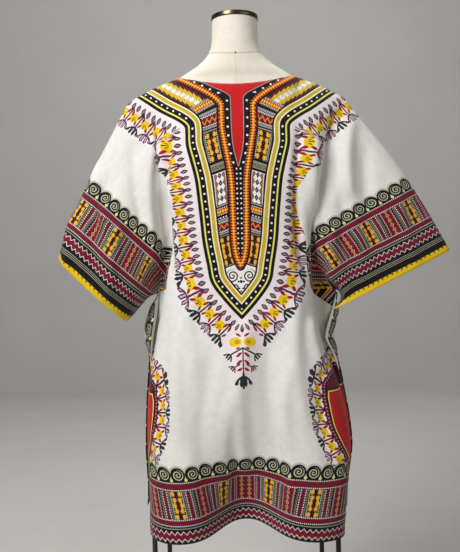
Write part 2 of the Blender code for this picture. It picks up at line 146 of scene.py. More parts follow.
TIES = {
    "left": Table(TIE_COLUMNS, (
        (-430, 2.2, -7, 2.2, 7), (-420, 4, -14, 7, 12), (-408, 5, -20, 15, 20), (-391, 4, -26, 20, 24),
        (-364, 3, -28, 22, 26), (-345, 3, -24, 19, 30), (-322, 3, -13, 12, 36), (-300, 4, -2, 7, 42),
        (-270, 3.5, 4, 4.5, 48), (-230, 3.5, 8, 4, 52), (-180, 4, 10, 5, 54), (-130, 5, 12, 4, 55),
        (-80, 4, 14, 5, 57), (-36, 6, 15, 6, 58),
    )),
    "right": Table(TIE_COLUMNS, (
        (-426, 2.2, -6, 2.2, 7), (-418, 3, -7, 4, 11), (-406, 4, -6, 9, 18), (-391, 4, -16, 18, 25),
        (-364, 3, -27, 20, 27), (-345, 3, -24, 20, 31), (-322, 3, -14, 16, 36), (-300, 5, -2, 10, 42),
        (-270, 4, 4, 5, 48), (-230, 4, 8, 4, 52), (-180, 4, 10, 5, 54), (-130, 5, 12, 4, 55),
        (-80, 4, 14, 5, 57), (-28, 6, 15, 6, 58),
    )),
}
FORM = Table(("h", "half", "back", "front", "power"), (
    (160, 134, 76, 80, 2.2), (166, 138, 80, 83, 2.2), (200, 150, 93, 89, 2.2),
    (245, 159, 107, 93, 2.2), (285, 160, 113, 94, 2.2), (330, 146, 108, 94, 2.2),
    (380, 131, 96, 93, 2.2), (430, 118, 88, 93, 2.2), (475, 113, 84, 95, 2.2),
    (520, 116, 86, 104, 2.2), (560, 122, 89, 118, 2.2), (600, 127, 92, 127, 2.2),
    (640, 131, 93, 120, 2.3), (680, 137, 90, 104, 2.4), (710, 144, 85, 91, 2.4),
    (740, 155, 76, 78, 2.4), (762, 164, 66, 67, 2.3), (780, 162, 57, 57, 2.2),
    (794, 150, 47, 48, 2.1), (808, 130.5, 41, 41, 2.0), (823, 109.5, 38, 37, 2.0),
    (834, 92.5, 41, 41, 2.0), (846, 73, 41, 42, 2.0), (861, 56, 41.5, 43, 2.0),
    (882, 45, 42, 44, 2.0), (905, 42.5, 42, 44.5, 2.0), (930, 42, 42, 44, 2.0),
))

# Half widths of the yoke print's lines at each height, and of the side medallion from its seam
YOKE_EDGE = Table(("h", "x"), (
    (384, 0), (400, 15), (418.5, 31), (448, 51.7), (480, 58.5), (522, 65.6), (560, 69), (600, 73),
    (626, 76), (661, 84), (690, 91), (722, 92), (757, 140), (808, 205),
))
CHAIN_LINE = Table(("h", "x"), (
    (477, 0), (492, 6.4), (510, 9.6), (560, 11.4), (635, 14), (695, 23.9), (720, 27.8), (762, 28),
    (770, 34), (812, 94), (832, 122),
))
PLACKET_EDGE = Table(("h", "x"), (
    (649, 0), (684, 7.8), (722, 10.3), (775, 10.7), (781, 16), (797, 44), (830, 102),
))
MEDALLION_EDGE = Table(("h", "x"), (
    (92, 0), (104, 42), (124, 80), (148, 101), (172, 113), (200, 120), (228, 119), (256, 112),
    (280, 96), (292, 62), (298, 0),
))
MEDALLION_SCALE = (0.89, 1.04)      # left and right
COURSE_SLANT = 0.33         # how fast the yoke's courses fall towards its middle
COURSE_MIDDLE = 12.0        # from the column's middle to where a course has its own height


@dataclass(frozen=True)
class Crease:
    """A soft ridge or trough along a line on one face, fading at both ends."""

    x0: float
    h0: float
    x1: float
    h1: float
    width: float
    depth: float

    def push(self, x: np.ndarray, h: np.ndarray) -> np.ndarray:
        """Return how far the crease lifts each point outward."""
        run = np.array((self.x1 - self.x0, self.h1 - self.h0))
        length = float(np.hypot(*run))
        dx, dh = x - self.x0, h - self.h0
        share = (dx * run[0] + dh * run[1]) / length ** 2
        bow = 0.05 * length * np.sin(math.pi * np.clip(share, 0, 1))
        off = (dx * run[1] - dh * run[0]) / length - bow
        ends = np.clip(np.minimum(share + 0.15, 1.15 - share) / 0.3, 0, 1)
        gain = RIDGE_HEIGHT if self.depth > 0 else TROUGH_DEPTH
        return gain * self.depth * ends * ends * (3 - 2 * ends) * np.exp(-(off / self.width) ** 2)


# Half widths beyond which the folds beside the sleeves swallow the yoke's ring, on the back
HIDDEN_BEYOND = Table(("h", "left", "right"), (
    (392, 200, 184), (402, 200, 166), (424, 200, 134), (431, 180, 126), (434, 133, 124),
    (490, 130, 119), (520, 128, 117), (566, 119, 107), (590, 115, 105), (613, 120, 107),
    (630, 130, 118), (651, 142, 136), (668, 400, 400),
))
RING_DEPTH = 72.0           # how far the ring of leaves reaches out from its outline
SEED_PITCH = 11.5
STEM_PITCH = 24.0
SEED_DEPTH = 19.0           # the side medallion's ring leaves out the seeds
RING_SQUEEZE = 1.45         # and is this much shallower
RING_FLOOR = 655.0          # the yoke's ring shows on a sleeve down to this height
UNDERARM_SLANT = 0.9        # how fast the cuff's print runs out below the right under-arm
UNDERARM_END = 388.0        # and the height at which it ends
CUFF_SCALE = 1.065          # the border's height on the cloth to its height on the cuff
CUFF_MARGIN = 34.0          # depth of the yellow edge that only the cuffs show
SHOULDER_SLOPE = (0.465, 0.886)     # direction across the shoulder's band of beads

CREASES = {
    "back": (
        Crease(-121, 690, -124, 470, 7, -5.0), Crease(108, 700, 114, 470, 7, -5.0),
        Crease(-150, 710, -152, 500, 9, 3.0), Crease(138, 700, 146, 500, 9, 3.0),
        Crease(10, 380, 2, 110, 15, 3.4), Crease(-52, 330, -66, 60, 17, -3.0),
        Crease(44, 350, 66, 120, 16, -3.2), Crease(96, 420, 104, 200, 15, 2.8),
        Crease(-100, 400, -112, 190, 14, 2.6), Crease(-118, 560, -96, 430, 12, -2.4),
        Crease(116, 640, 104, 470, 12, -2.6), Crease(-134, 700, -120, 590, 10, 2.4),
        Crease(-78, 470, -84, 300, 11, 1.8), Crease(74, 300, 88, 60, 12, 2.6),
        Crease(-20, 260, -34, 90, 12, 2.2), Crease(138, 290, 150, 120, 10, -2.2),
        Crease(-146, 330, -150, 150, 9, 2.0), Crease(120, 380, 136, 300, 9, 2.6),
        Crease(-262, 690, -226, 540, 12, 4.2), Crease(-236, 640, -262, 470, 13, -3.6),
        Crease(-300, 590, -306, 480, 10, 4.6), Crease(-206, 560, -232, 430, 11, 3.0),
        Crease(-186, 700, -170, 560, 12, -3.4), Crease(208, 740, 196, 600, 13, 4.2),
        Crease(232, 690, 250, 470, 15, -3.0), Crease(286, 620, 318, 480, 12, 2.8),
        Crease(186, 600, 206, 430, 12, -2.8), Crease(168, 540, 170, 440, 9, 3.0),
    ),
    "front": (
        Crease(-4, 520, -14, 180, 18, -3.6), Crease(40, 500, 66, 140, 16, 3.8),
        Crease(-60, 480, -92, 120, 17, 3.4), Crease(96, 560, 120, 330, 14, -3.0),
        Crease(-104, 560, -132, 300, 13, -3.2), Crease(20, 330, 30, 60, 13, 2.6),
        Crease(-36, 300, -44, 50, 12, -2.4), Crease(112, 330, 126, 90, 12, 3.0),
        Crease(-126, 290, -134, 90, 11, 2.6), Crease(84, 720, 60, 610, 13, -2.4),
        Crease(-88, 730, -58, 620, 12, -2.6), Crease(130, 700, 116, 560, 11, 2.6),
        Crease(-128, 690, -118, 540, 11, 2.8), Crease(-250, 690, -232, 520, 12, 3.8),
        Crease(-226, 620, -262, 460, 13, -3.4), Crease(-292, 600, -300, 490, 10, 3.6),
        Crease(222, 710, 216, 560, 13, 3.8), Crease(252, 660, 280, 460, 14, -3.2),
        Crease(318, 600, 338, 490, 11, 2.6), Crease(196, 610, 206, 440, 11, -2.6),
    ),
}


def ease(a: float, b: float, x: Any) -> Any:
    """Rise smoothly from 0 at a to 1 at b."""
    t = np.clip((np.asarray(x, float) - a) / (b - a), 0.0, 1.0)
    return t * t * (3 - 2 * t)


def along(points: Any, shares: Any) -> np.ndarray:
    """Return the points at these shares of a polyline's length."""
    points = np.array(points, float)
    steps = np.r_[0, np.cumsum(np.linalg.norm(np.diff(points, axis=0), axis=1))]
    places = np.array(shares) * steps[-1]
    return np.stack([np.interp(places, steps, points[:, k]) for k in range(points.shape[1])], 1)


def run_length(points: np.ndarray, axis: int) -> np.ndarray:
    """Return the length run along one axis of a grid of points, from its start."""
    steps = np.linalg.norm(np.diff(points, axis=axis), axis=2)
    zero = np.zeros_like(np.take(points[..., 0], [0], axis=axis))
    return np.cumsum(np.concatenate([zero, steps], axis=axis), axis=axis)


@dataclass(frozen=True)
class Outline:
    """A mirrored print line, half width against height, with distances from it."""

    table: Table

    def width(self, h: np.ndarray) -> np.ndarray:
        """Return the half width at each height."""
        return self.table.at(h)["x"]

    def measure(self, x: np.ndarray, h: np.ndarray) -> tuple[np.ndarray, np.ndarray]:
        """Measure points from the line.

        Args:
            x: Distance of each point from the print's middle.
            h: Height of each point.

        Returns:
            Distance outward of the line, negative inside, and the length run along it from its tip.
        """
        keys = np.array(self.table.rows, float)[:, 0]
        levels = np.unique(np.r_[np.linspace(keys[0], keys[-1], 150), keys])
        line = np.stack([self.width(levels), levels], 1)
        step = np.diff(line, axis=0)
        size = (step ** 2).sum(1)
        run = np.r_[0, np.cumsum(np.sqrt(size))]
        spots = np.stack([np.abs(x).ravel(), h.ravel()], 1)
        best = np.full(len(spots), 1e9)
        place = np.zeros(len(spots))
        for k, (start, way) in enumerate(zip(line[:-1], step)):
            t = np.clip(((spots - start) @ way) / size[k], 0, 1)
            far = ((spots - start - t[:, None] * way) ** 2).sum(1)
            nearer = far < best
            best = np.where(nearer, far, best)
            place = np.where(nearer, run[k] + t * math.sqrt(size[k]), place)
        for end, way, turned in ((line[0], step[0], -1), (line[-1], step[-1], 1)):
            if end[0] == 0:
                square = np.array((way[1], -way[0])) / np.linalg.norm(way)
                off = spots - end
                reach = np.maximum(np.linalg.norm(off, axis=1), 1e-6)
                angle = np.arccos(np.clip(off @ square / reach, -1, 1))
                here = (place <= 0) if turned < 0 else (place >= run[-1] - 1e-9)
                place = np.where(here, place + turned * FAN_RADIUS * angle, place)
        inside = (spots[:, 1] > keys[0]) & (spots[:, 0] < self.width(spots[:, 1]))
        if self.table.rows[-1][1] == 0:
            inside &= spots[:, 1] < keys[-1]
        away = np.sqrt(best) * np.where(inside, -1, 1)
        return away.reshape(np.shape(h)), place.reshape(np.shape(h))


@dataclass
class ClothGrid:
    """One stretch of cloth: a grid of points with named values at each."""

    points: np.ndarray
    values: dict[str, np.ndarray]
    flip: bool


@dataclass
class PanelSurface:
    """A panel's middle surface, its body and both half sleeves, with the print's measures."""

    face: str

    @property
    def sign(self) -> int:
        """Return -1 for the back and 1 for the front."""
        return -1 if self.face == "back" else 1

    def half_section(self, h: float, side: str) -> np.ndarray:
        """Return one side's half of a level section, middle to side, as outward x and depth."""
        row = {k: float(v[0]) for k, v in BODY.at(h).items()}
        deep = {k: float(v[0]) for k, v in VALLEY.at(h).items()}
        fold, end = row["fold_" + side[0]], row["seam_" + side[0]]
        depth, valley, out = row[self.face], deep["valley"], deep["armhole"]
        power = 2.0 / row["power"]
        turn = np.linspace(0, math.pi / 2, 160)
        main = np.stack([fold * np.sin(turn) ** power,
                         valley + (depth - valley) * np.clip(np.cos(turn), 0, 1) ** power], 1)
        web = 0.0
        web_line: list[np.ndarray] = []
        if h < WEB_TOP:
            rim = max(SEAM_ROUND, out)
            last = np.array([end - max(SEAM_ROUND - out, 0), rim])
            knots = (np.array([fold, valley]), np.array([fold, valley - 0.8 * (valley - rim)]),
                     np.array([fold + 0.3 * (last[0] - fold), rim]), last)
            for t in np.linspace(0, 1, 24):
                web_line.append((1 - t) ** 3 * knots[0] + 3 * t * (1 - t) ** 2 * knots[1]
                                + 3 * t * t * (1 - t) * knots[2] + t ** 3 * knots[3])
            if out < SEAM_ROUND:
                for angle in np.linspace(0, math.pi / 2, 10)[1:]:
                    web_line.append(np.array([last[0] + (end - last[0]) * math.sin(angle),
                                              out + (rim - out) * math.cos(angle)]))
            web = WEB_SHARE * (1 - float(ease(UNDERARM, WEB_TOP, h)))
        shares = np.linspace(0, 1, SIDE_COLUMNS + 1)
        split = 1 - web
        inner = shares[shares <= split + 1e-9]
        outer = shares[shares > split + 1e-9]
        points = along(main, np.minimum(inner / split, 1))
        if len(outer):
            points = np.r_[points, along(web_line, (outer - split) / web)]
        return points

    def top_edge(self) -> np.ndarray:
        """Return the neckline and shoulder of one side as outward x, depth and height."""
        middle_h, middle_y = NECK_MIDDLE[self.face]
        turn = np.linspace(0, math.pi / 2, 160)
        neck = along(np.stack([NECK_POINT[0] * np.sin(turn), middle_y * np.cos(turn)], 1),
                     np.linspace(0, 1, NECK_COLUMN + 1))
        drop = (neck[:, 0] / NECK_POINT[0]) ** 2
        neck = np.c_[neck, middle_h + (NECK_POINT[1] - middle_h) * drop]
        share = np.linspace(0, 1, SIDE_COLUMNS - NECK_COLUMN + 1)[1:]
        shoulder = np.c_[NECK_POINT[0] + share * (SHOULDER_TIP[0] - NECK_POINT[0]), share * 0,
                         NECK_POINT[1] + share * (SHOULDER_TIP[1] - NECK_POINT[1])
                         + 3 * np.sin(math.pi * share)]
        return np.r_[neck, shoulder]

    def hem_folds(self, x: np.ndarray, h: float) -> np.ndarray:
        """Return how far the hem's folds push each point of a row in."""
        if self.face == "back":
            deep = TROUGH_BACK * (1 - float(ease(-40, 330, h))) ** 1.3
            return deep * np.exp(-np.abs((x - 0.03 * h) / TROUGH_WIDTH) ** 2.6)
        fade = 1 - float(ease(0, 340, h))
        return fade * (30 * np.exp(-((x + 62) / 34) ** 2) + 24 * np.exp(-((x - 48) / 30) ** 2)
                       + 10 * np.exp(-((x - 118) / 26) ** 2))

    def body(self) -> np.ndarray:
        """Return the body as rows of points, hem to shoulder, left side to right side."""
        rows = []
        shares = np.linspace(-1, 1, 2 * SIDE_COLUMNS + 1)
        lifts = LIFT.at(shares)[self.face]
        for h in np.linspace(0, UNDERARM, BODY_ROWS + 1):
            left = self.half_section(h, "left")[::-1] * (-1, 1)
            line = np.r_[left, self.half_section(h, "right")[1:]]
            inward = self.hem_folds(line[:, 0], h) * (1 - shares ** 8)
            rows.append(np.stack([line[:, 0], self.sign * (line[:, 1] - inward),
                                  h + lifts * (1 - h / UNDERARM)], 1))
        top = self.top_edge()
        for v in self.armhole_shares():
            h = UNDERARM + v * (SHOULDER_TIP[1] - UNDERARM)
            arch = (1 - v ** 4) ** 0.5
            merge = float(ease(0.84, 1, v))
            halves = []
            for side, way in (("left", -1), ("right", 1)):
                low = self.half_section(h, side)
                out = low[:, 0] + (top[:, 0] - low[:, 0]) * merge
                depth = top[:, 1] + (low[:, 1] - top[:, 1]) * arch
                height = UNDERARM + v * (top[:, 2] - UNDERARM)
                halves.append(np.c_[way * out, self.sign * depth, height])
            rows.append(np.r_[halves[0][::-1], halves[1][1:]])
        points = np.array(rows)
        points[..., 1] = self.sign * np.maximum(self.sign * points[..., 1], HALF_GAP)
        return points

    @staticmethod
    def armhole_shares() -> np.ndarray:
        """Return each upper row's share of the way from the under-arm to the shoulder."""
        share = np.arange(1, ARMHOLE_ROWS + 1) / ARMHOLE_ROWS
        return 0.55 * share + 0.45 * np.sin(share * math.pi / 2)

    def sleeve(self, body: np.ndarray, side: str) -> np.ndarray:
        """Return half a sleeve as rows from armhole to cuff, each from over-arm to under-arm."""
        way = -1 if side == "left" else 1
        cuff_deep = CUFF_DEPTH[side][0 if self.face == "back" else 1]
        armhole = body[BODY_ROWS:, 0 if side == "left" else -1][::-1]
        start = armhole[0]
        chord = armhole[-1] - start
        share = (armhole - start) @ chord / (chord @ chord)
        off = armhole - start - share[:, None] * chord
        rows = []
        for t in np.linspace(0, 1, SLEEVE_ROWS + 1):
            row = {k: float(v[0]) for k, v in SLEEVES[side].at(t).items()}
            over = np.array([way * row["over_x"], row["over_y"], row["over_h"]])
            under = np.array([way * row["under_x"], row["under_y"], row["under_h"]])
            mix = float(ease(-0.15, 1, t)) if t > 0 else 0.0
            puff = row["near"] if self.face == "back" else row["far"]
            out = self.sign * np.maximum((cuff_deep * mix + puff) * self.cuff_round(share), HALF_GAP)
            points = over + share[:, None] * (under - over) + off * (1 - mix)
            points[:, 1] += out
            rows.append(points)
        rows[0] = armhole
        return np.array(rows)

    @staticmethod
    def cuff_round(share: np.ndarray) -> np.ndarray:
        """Return the sleeve's depth against the share of the way down its section."""
        turn = np.arccos(np.clip(1 - 2 * share, -1, 1))
        return np.abs(np.sin(turn)) ** 0.75

    @staticmethod
    def seam_free(v: np.ndarray) -> np.ndarray:
        """Return how freely creases may move each point of the body, 0 along its seams."""
        inside = 1 - np.abs(np.linspace(-1, 1, 2 * SIDE_COLUMNS + 1))[None, :] ** 10
        upper = np.maximum(ease(0, 0.15, v)[:, None], inside)
        free = np.where(np.arange(len(v))[:, None] <= BODY_ROWS, inside, upper)
        return free * (1 - v[:, None] ** 12)

    @staticmethod
    def ornaments(across: np.ndarray, x: np.ndarray, h: np.ndarray) -> dict[str, np.ndarray]:
        """Return the body's measures from the nearer ornament, the yoke or a side medallion."""
        yoke_d, yoke_s = Outline(YOKE_EDGE).measure(x, h)
        side_away = np.minimum(across - across[:, [0]], across[:, [-1]] - across)
        side_scale = np.where(x < 0, *MEDALLION_SCALE)
        side_d, side_s = Outline(MEDALLION_EDGE).measure(side_away / side_scale, h)
        side_d = np.where(np.arange(len(h))[:, None] <= BODY_ROWS, side_d, FAR_AWAY)
        side_d = np.where(side_d > 0, RING_SQUEEZE * side_d, side_d) + SEED_DEPTH
        medallion = side_d < yoke_d
        return {"orn_d": np.where(medallion, side_d, yoke_d),
                "orn_s": np.where(medallion, side_s, yoke_s), "orn_kind": medallion.astype(float)}

    def creases(self, x: np.ndarray, h: np.ndarray) -> np.ndarray:
        """Return how far all creases together lift each point."""
        return sum(crease.push(x, h) for crease in CREASES[self.face])

    def grids(self) -> list[ClothGrid]:
        """Return the body and both half sleeves with their creases and measures."""
        body = self.body()
        v = np.r_[np.zeros(BODY_ROWS + 1), self.armhole_shares()]
        across, up = run_length(body, 1), run_length(body, 0)
        across -= across[:, [SIDE_COLUMNS]]
        x, h = body[..., 0], body[..., 2]
        cuff = np.full(h.shape, FAR_AWAY)
        cuff_along = np.zeros(h.shape)
        sleeves = []
        for side, column, inner in (("left", 0, slice(0, SIDE_COLUMNS)),
                                    ("right", -1, slice(SIDE_COLUMNS + 1, None))):
            sleeve = self.sleeve(body, side)
            to_cuff = run_length(sleeve, 0)
            to_cuff = to_cuff[-1:] - to_cuff
            down = run_length(sleeve, 1)
            down = down * (0.5 + 0.5 * down[-1:, -1:] / down[:, -1:])
            reach = np.abs(across[BODY_ROWS:, inner] - across[BODY_ROWS:, [column]])
            cuff[BODY_ROWS:, inner] = to_cuff[0][::-1, None] + reach
            cuff_along[BODY_ROWS:, inner] = down[0][::-1, None]
            run = {"cloth_u": across[BODY_ROWS:, column][::-1], "cloth_v": up[BODY_ROWS:, column][::-1]}
            sleeves.append(self.sleeve_grid(side, sleeve, to_cuff, down, run, v[BODY_ROWS:][::-1]))
        below = (UNDERARM - h[:BODY_ROWS]) * (h[:BODY_ROWS] > UNDERARM_END) * (x[:BODY_ROWS] > 0)
        cuff[:BODY_ROWS] = np.where(below > 0, cuff[BODY_ROWS] - UNDERARM_SLANT * below, FAR_AWAY)
        cuff_along[:BODY_ROWS] = cuff_along[BODY_ROWS]
        hidden = HIDDEN_BEYOND.at(h.ravel())
        fold_limit = np.where(x < 0, *(hidden[k].reshape(h.shape) for k in ("left", "right")))
        middle = (Outline(YOKE_EDGE).width(h.ravel()) + Outline(CHAIN_LINE).width(h.ravel())) / 2
        return [ClothGrid(body, {
            "push": self.creases(x, h) * self.seam_free(v),
            "cloth_u": across, "cloth_v": up, **self.ornaments(across, x, h),
            "chain": Outline(CHAIN_LINE).measure(x, h)[0],
            "placket": Outline(PLACKET_EDGE).measure(x, h)[0],
            "course": h + COURSE_SLANT * (np.abs(x) - (middle.reshape(h.shape) - COURSE_MIDDLE)),
            "hem": up, "cuff": cuff, "cuff_along": cuff_along,
            "x": x, "h": h, "reach": fold_limit - np.abs(x),
        }, self.face == "front"), *sleeves]

    def sleeve_grid(self, side: str, sleeve: np.ndarray, to_cuff: np.ndarray, down: np.ndarray,
                    run: dict[str, np.ndarray], v: np.ndarray) -> ClothGrid:
        """Return half a sleeve with its creases and measures.

        Args:
            side: Which sleeve it is.
            sleeve: Its points, from armhole to cuff.
            to_cuff: Each point's way to the cuff.
            down: Each point's way down round the sleeve.
            run: The body's runs across and up at the armhole, from over-arm to under-arm.
            v: The armhole's shares of the way from under-arm to shoulder, in the same order.
        """
        x, h = sleeve[..., 0], sleeve[..., 2]
        none = 0 * to_cuff
        ring_d, ring_s = Outline(YOKE_EDGE).measure(x, h)
        way = -1 if side == "left" else 1
        return ClothGrid(sleeve, {
            "push": self.creases(x, h) * (ease(0, 0.15, v) * (1 - v ** 12))[None, :],
            "cloth_u": run["cloth_u"][None, :] + way * (to_cuff[:1] - to_cuff),
            "cloth_v": run["cloth_v"][None, :] + none,
            "orn_d": ring_d, "orn_s": ring_s, "orn_kind": none,
            "chain": none + FAR_AWAY, "placket": none + FAR_AWAY, "course": none,
            "hem": none + FAR_AWAY, "cuff": to_cuff, "cuff_along": down,
            "x": x, "h": h, "reach": np.clip(h - RING_FLOOR, 0, 5),
        }, (side == "right") != (self.face == "back"))


def build_cloth(name: str, grids: Sequence[ClothGrid], thick: float) -> tuple[bpy.types.Object, float]:
    """Sew grids of cloth into one shell with its creases and print measures.

    Args:
        name: The piece's name.
        grids: Stretches of cloth whose shared edges coincide.
        thick: The cloth's thickness in millimetres.

    Returns:
        The finished piece and the cloth's area in square metres.
    """
    place: dict[tuple[float, ...], int] = {}
    rows: list[tuple[float, ...]] = []
    names = sorted(grids[0].values)
    faces: list[tuple[int, ...]] = []
    for grid in grids:
        height, width = grid.points.shape[:2]
        flat = grid.points.reshape(-1, 3)
        stack = np.stack([grid.values[n].reshape(-1) for n in names], 1)
        number = []
        for point, value in zip(np.round(flat, 3), stack):
            key = tuple(point)
            if key not in place:
                place[key] = len(rows)
                rows.append((*point, *value))
            number.append(place[key])
        index = np.array(number).reshape(height, width)
        quads = np.stack([index[:-1, :-1], index[:-1, 1:], index[1:, 1:], index[1:, :-1]], 2).reshape(-1, 4)
        faces += [tuple(q[::-1]) if grid.flip else tuple(q) for q in quads]
    data = np.array(rows)
    points, values = data[:, :3], dict(zip(names, data[:, 3:].T))
    quads = np.array(faces)
    a, b, c, d = (points[quads[:, k]] for k in range(4))
    cross = np.cross(c - a, d - b)
    area = float(np.linalg.norm(cross, axis=1).sum()) / 2 * MM * MM
    normals = np.zeros_like(points)
    for k in range(4):
        np.add.at(normals, quads[:, k], cross / np.linalg.norm(cross, axis=1)[:, None])
    normals /= np.linalg.norm(normals, axis=1)[:, None]
    points = points + normals * values.pop("push")[:, None]
    mesh = bpy.data.meshes.new(name)
    mesh.from_pydata(((points + AXIS) * MM).tolist(), [], [tuple(int(i) for i in f) for f in faces])
    corner = quads.ravel()
    uv = mesh.uv_layers.new(name="cloth")
    uv.data.foreach_set("uv", (np.stack([values["cloth_u"], values["cloth_v"]], 1)[corner] * MM).ravel())
    for title, parts in (("ornament", ("orn_d", "orn_s", "orn_kind")),
                         ("yoke", ("chain", "placket", "course")),
                         ("edges", ("hem", "cuff", "cuff_along")),
                         ("place", ("x", "h", "reach"))):
        layer = mesh.attributes.new(title, "FLOAT_VECTOR", "POINT")
        layer.data.foreach_set("vector", np.stack([values[p] for p in parts], 1).ravel())
    mesh.shade_smooth()
    piece = bpy.data.objects.new(name, mesh)
    bpy.context.scene.collection.objects.link(piece)
    shell = piece.modifiers.new("thickness", "SOLIDIFY")
    shell.thickness = thick * MM
    shell.offset = 0
    shell.use_even_offset = False
    return piece, area


def tint(code: str) -> tuple[float, float, float, float]:
    """Turn a colour as it looks on a screen into the linear one that shaders take."""
    parts = [int(code[i:i + 2], 16) / 255 for i in (0, 2, 4)]
    return (*(c / 12.92 if c <= 0.04045 else ((c + 0.055) / 1.055) ** 2.4 for c in parts), 1.0)


@dataclass(frozen=True)
class Dyes:
    """The print's colours."""

    ground: str = "EBE9E5"
    halo: str = "F2E8EA"
    black: str = "08070A"
    crimson: str = "750A28"
    maroon: str = "5A1020"
    scarlet: str = "C9141B"
    yellow: str = "F4CC0E"
    gold: str = "D6B831"
    pale: str = "F0E86E"
    cream: str = "F6F2CF"
    orange: str = "EE7A24"
    amber: str = "E9A239"
    olive: str = "8E9378"
    grey: str = "9B9A94"
    white: str = "F4EEEC"
    brown: str = "8D6650"
    sage: str = "A9A283"
    sand: str = "B4B193"
    blush: str = "E9D3D8"
    rose: str = "D9A9AE"
    petal: str = "D9A6AE"
    wheat: str = "E3B270"
    lichen: str = "C4C6A2"
    wine: str = "43202F"
    mauve: str = "A18493"
    lilac: str = "CDBAC6"
    ink: str = "26302F"
    grape: str = "5E2A49"
    vein: str = "4A4418"
    ruby: str = "A30E22"
    oxblood: str = "5A0C14"
    ochre: str = "B8932B"
    saffron: str = "FFC02C"
    thread: str = "C9B23A"

    def __getitem__(self, name: str) -> tuple[float, float, float, float]:
        """Return a dye as a linear colour."""
        return tint(getattr(self, name))


DYES = Dyes()
Number = Union["Wire", float]
Colour = Union["Wire", tuple[float, float, float, float]]


class Wire:
    """A value that a node puts out, written in sums like a plain number."""

    def __init__(self, board: "Board", socket: bpy.types.NodeSocket) -> None:
        """Hold the node socket and the board that it is on."""
        self.board = board
        self.socket = socket

    def __add__(self, other: Number) -> "Wire":
        """Add."""
        return self.board.sum("ADD", self, other)

    def __sub__(self, other: Number) -> "Wire":
        """Take away."""
        return self.board.sum("SUBTRACT", self, other)

    def __rsub__(self, other: Number) -> "Wire":
        """Take this from a plain number."""
        return self.board.sum("SUBTRACT", other, self)

    def __mul__(self, other: Number) -> "Wire":
        """Multiply; for masks, where both hold."""
        return self.board.sum("MULTIPLY", self, other)

    def __truediv__(self, other: Number) -> "Wire":
        """Divide."""
        return self.board.sum("DIVIDE", self, other)

    def __or__(self, other: Number) -> "Wire":
        """Take the greater; for masks, where either holds."""
        return self.board.sum("MAXIMUM", self, other)

    def __lt__(self, other: Number) -> "Wire":
        """Return a mask of where this is below a limit."""
        return self.board.sum("LESS_THAN", self, other)

    def __gt__(self, other: Number) -> "Wire":
        """Return a mask of where this is above a limit."""
        return self.board.sum("GREATER_THAN", self, other)

    def __abs__(self) -> "Wire":
        """Drop the sign."""
        return self.board.sum("ABSOLUTE", self)

    def near(self, middle: Number, half: Number) -> "Wire":
        """Return a mask of where this lies within half of middle."""
        return self.board.sum("COMPARE", self, middle, half)

    def cell(self, pitch: float) -> "Wire":
        """Repeat every pitch, as the distance from each repeat's middle."""
        return self.board.sum("WRAP", self, pitch / 2, -pitch / 2)

    def fold(self, half: float) -> "Wire":
        """Go up and down between 0 and half."""
        return self.board.sum("PINGPONG", self, half)

    def scaled(self, factor: float, offset: float = 0.0, clamp: bool = False) -> "Wire":
        """Multiply and add plain numbers, held between 0 and 1 where asked."""
        return self.board.sum("MULTIPLY_ADD", self, factor, offset, clamp=clamp)


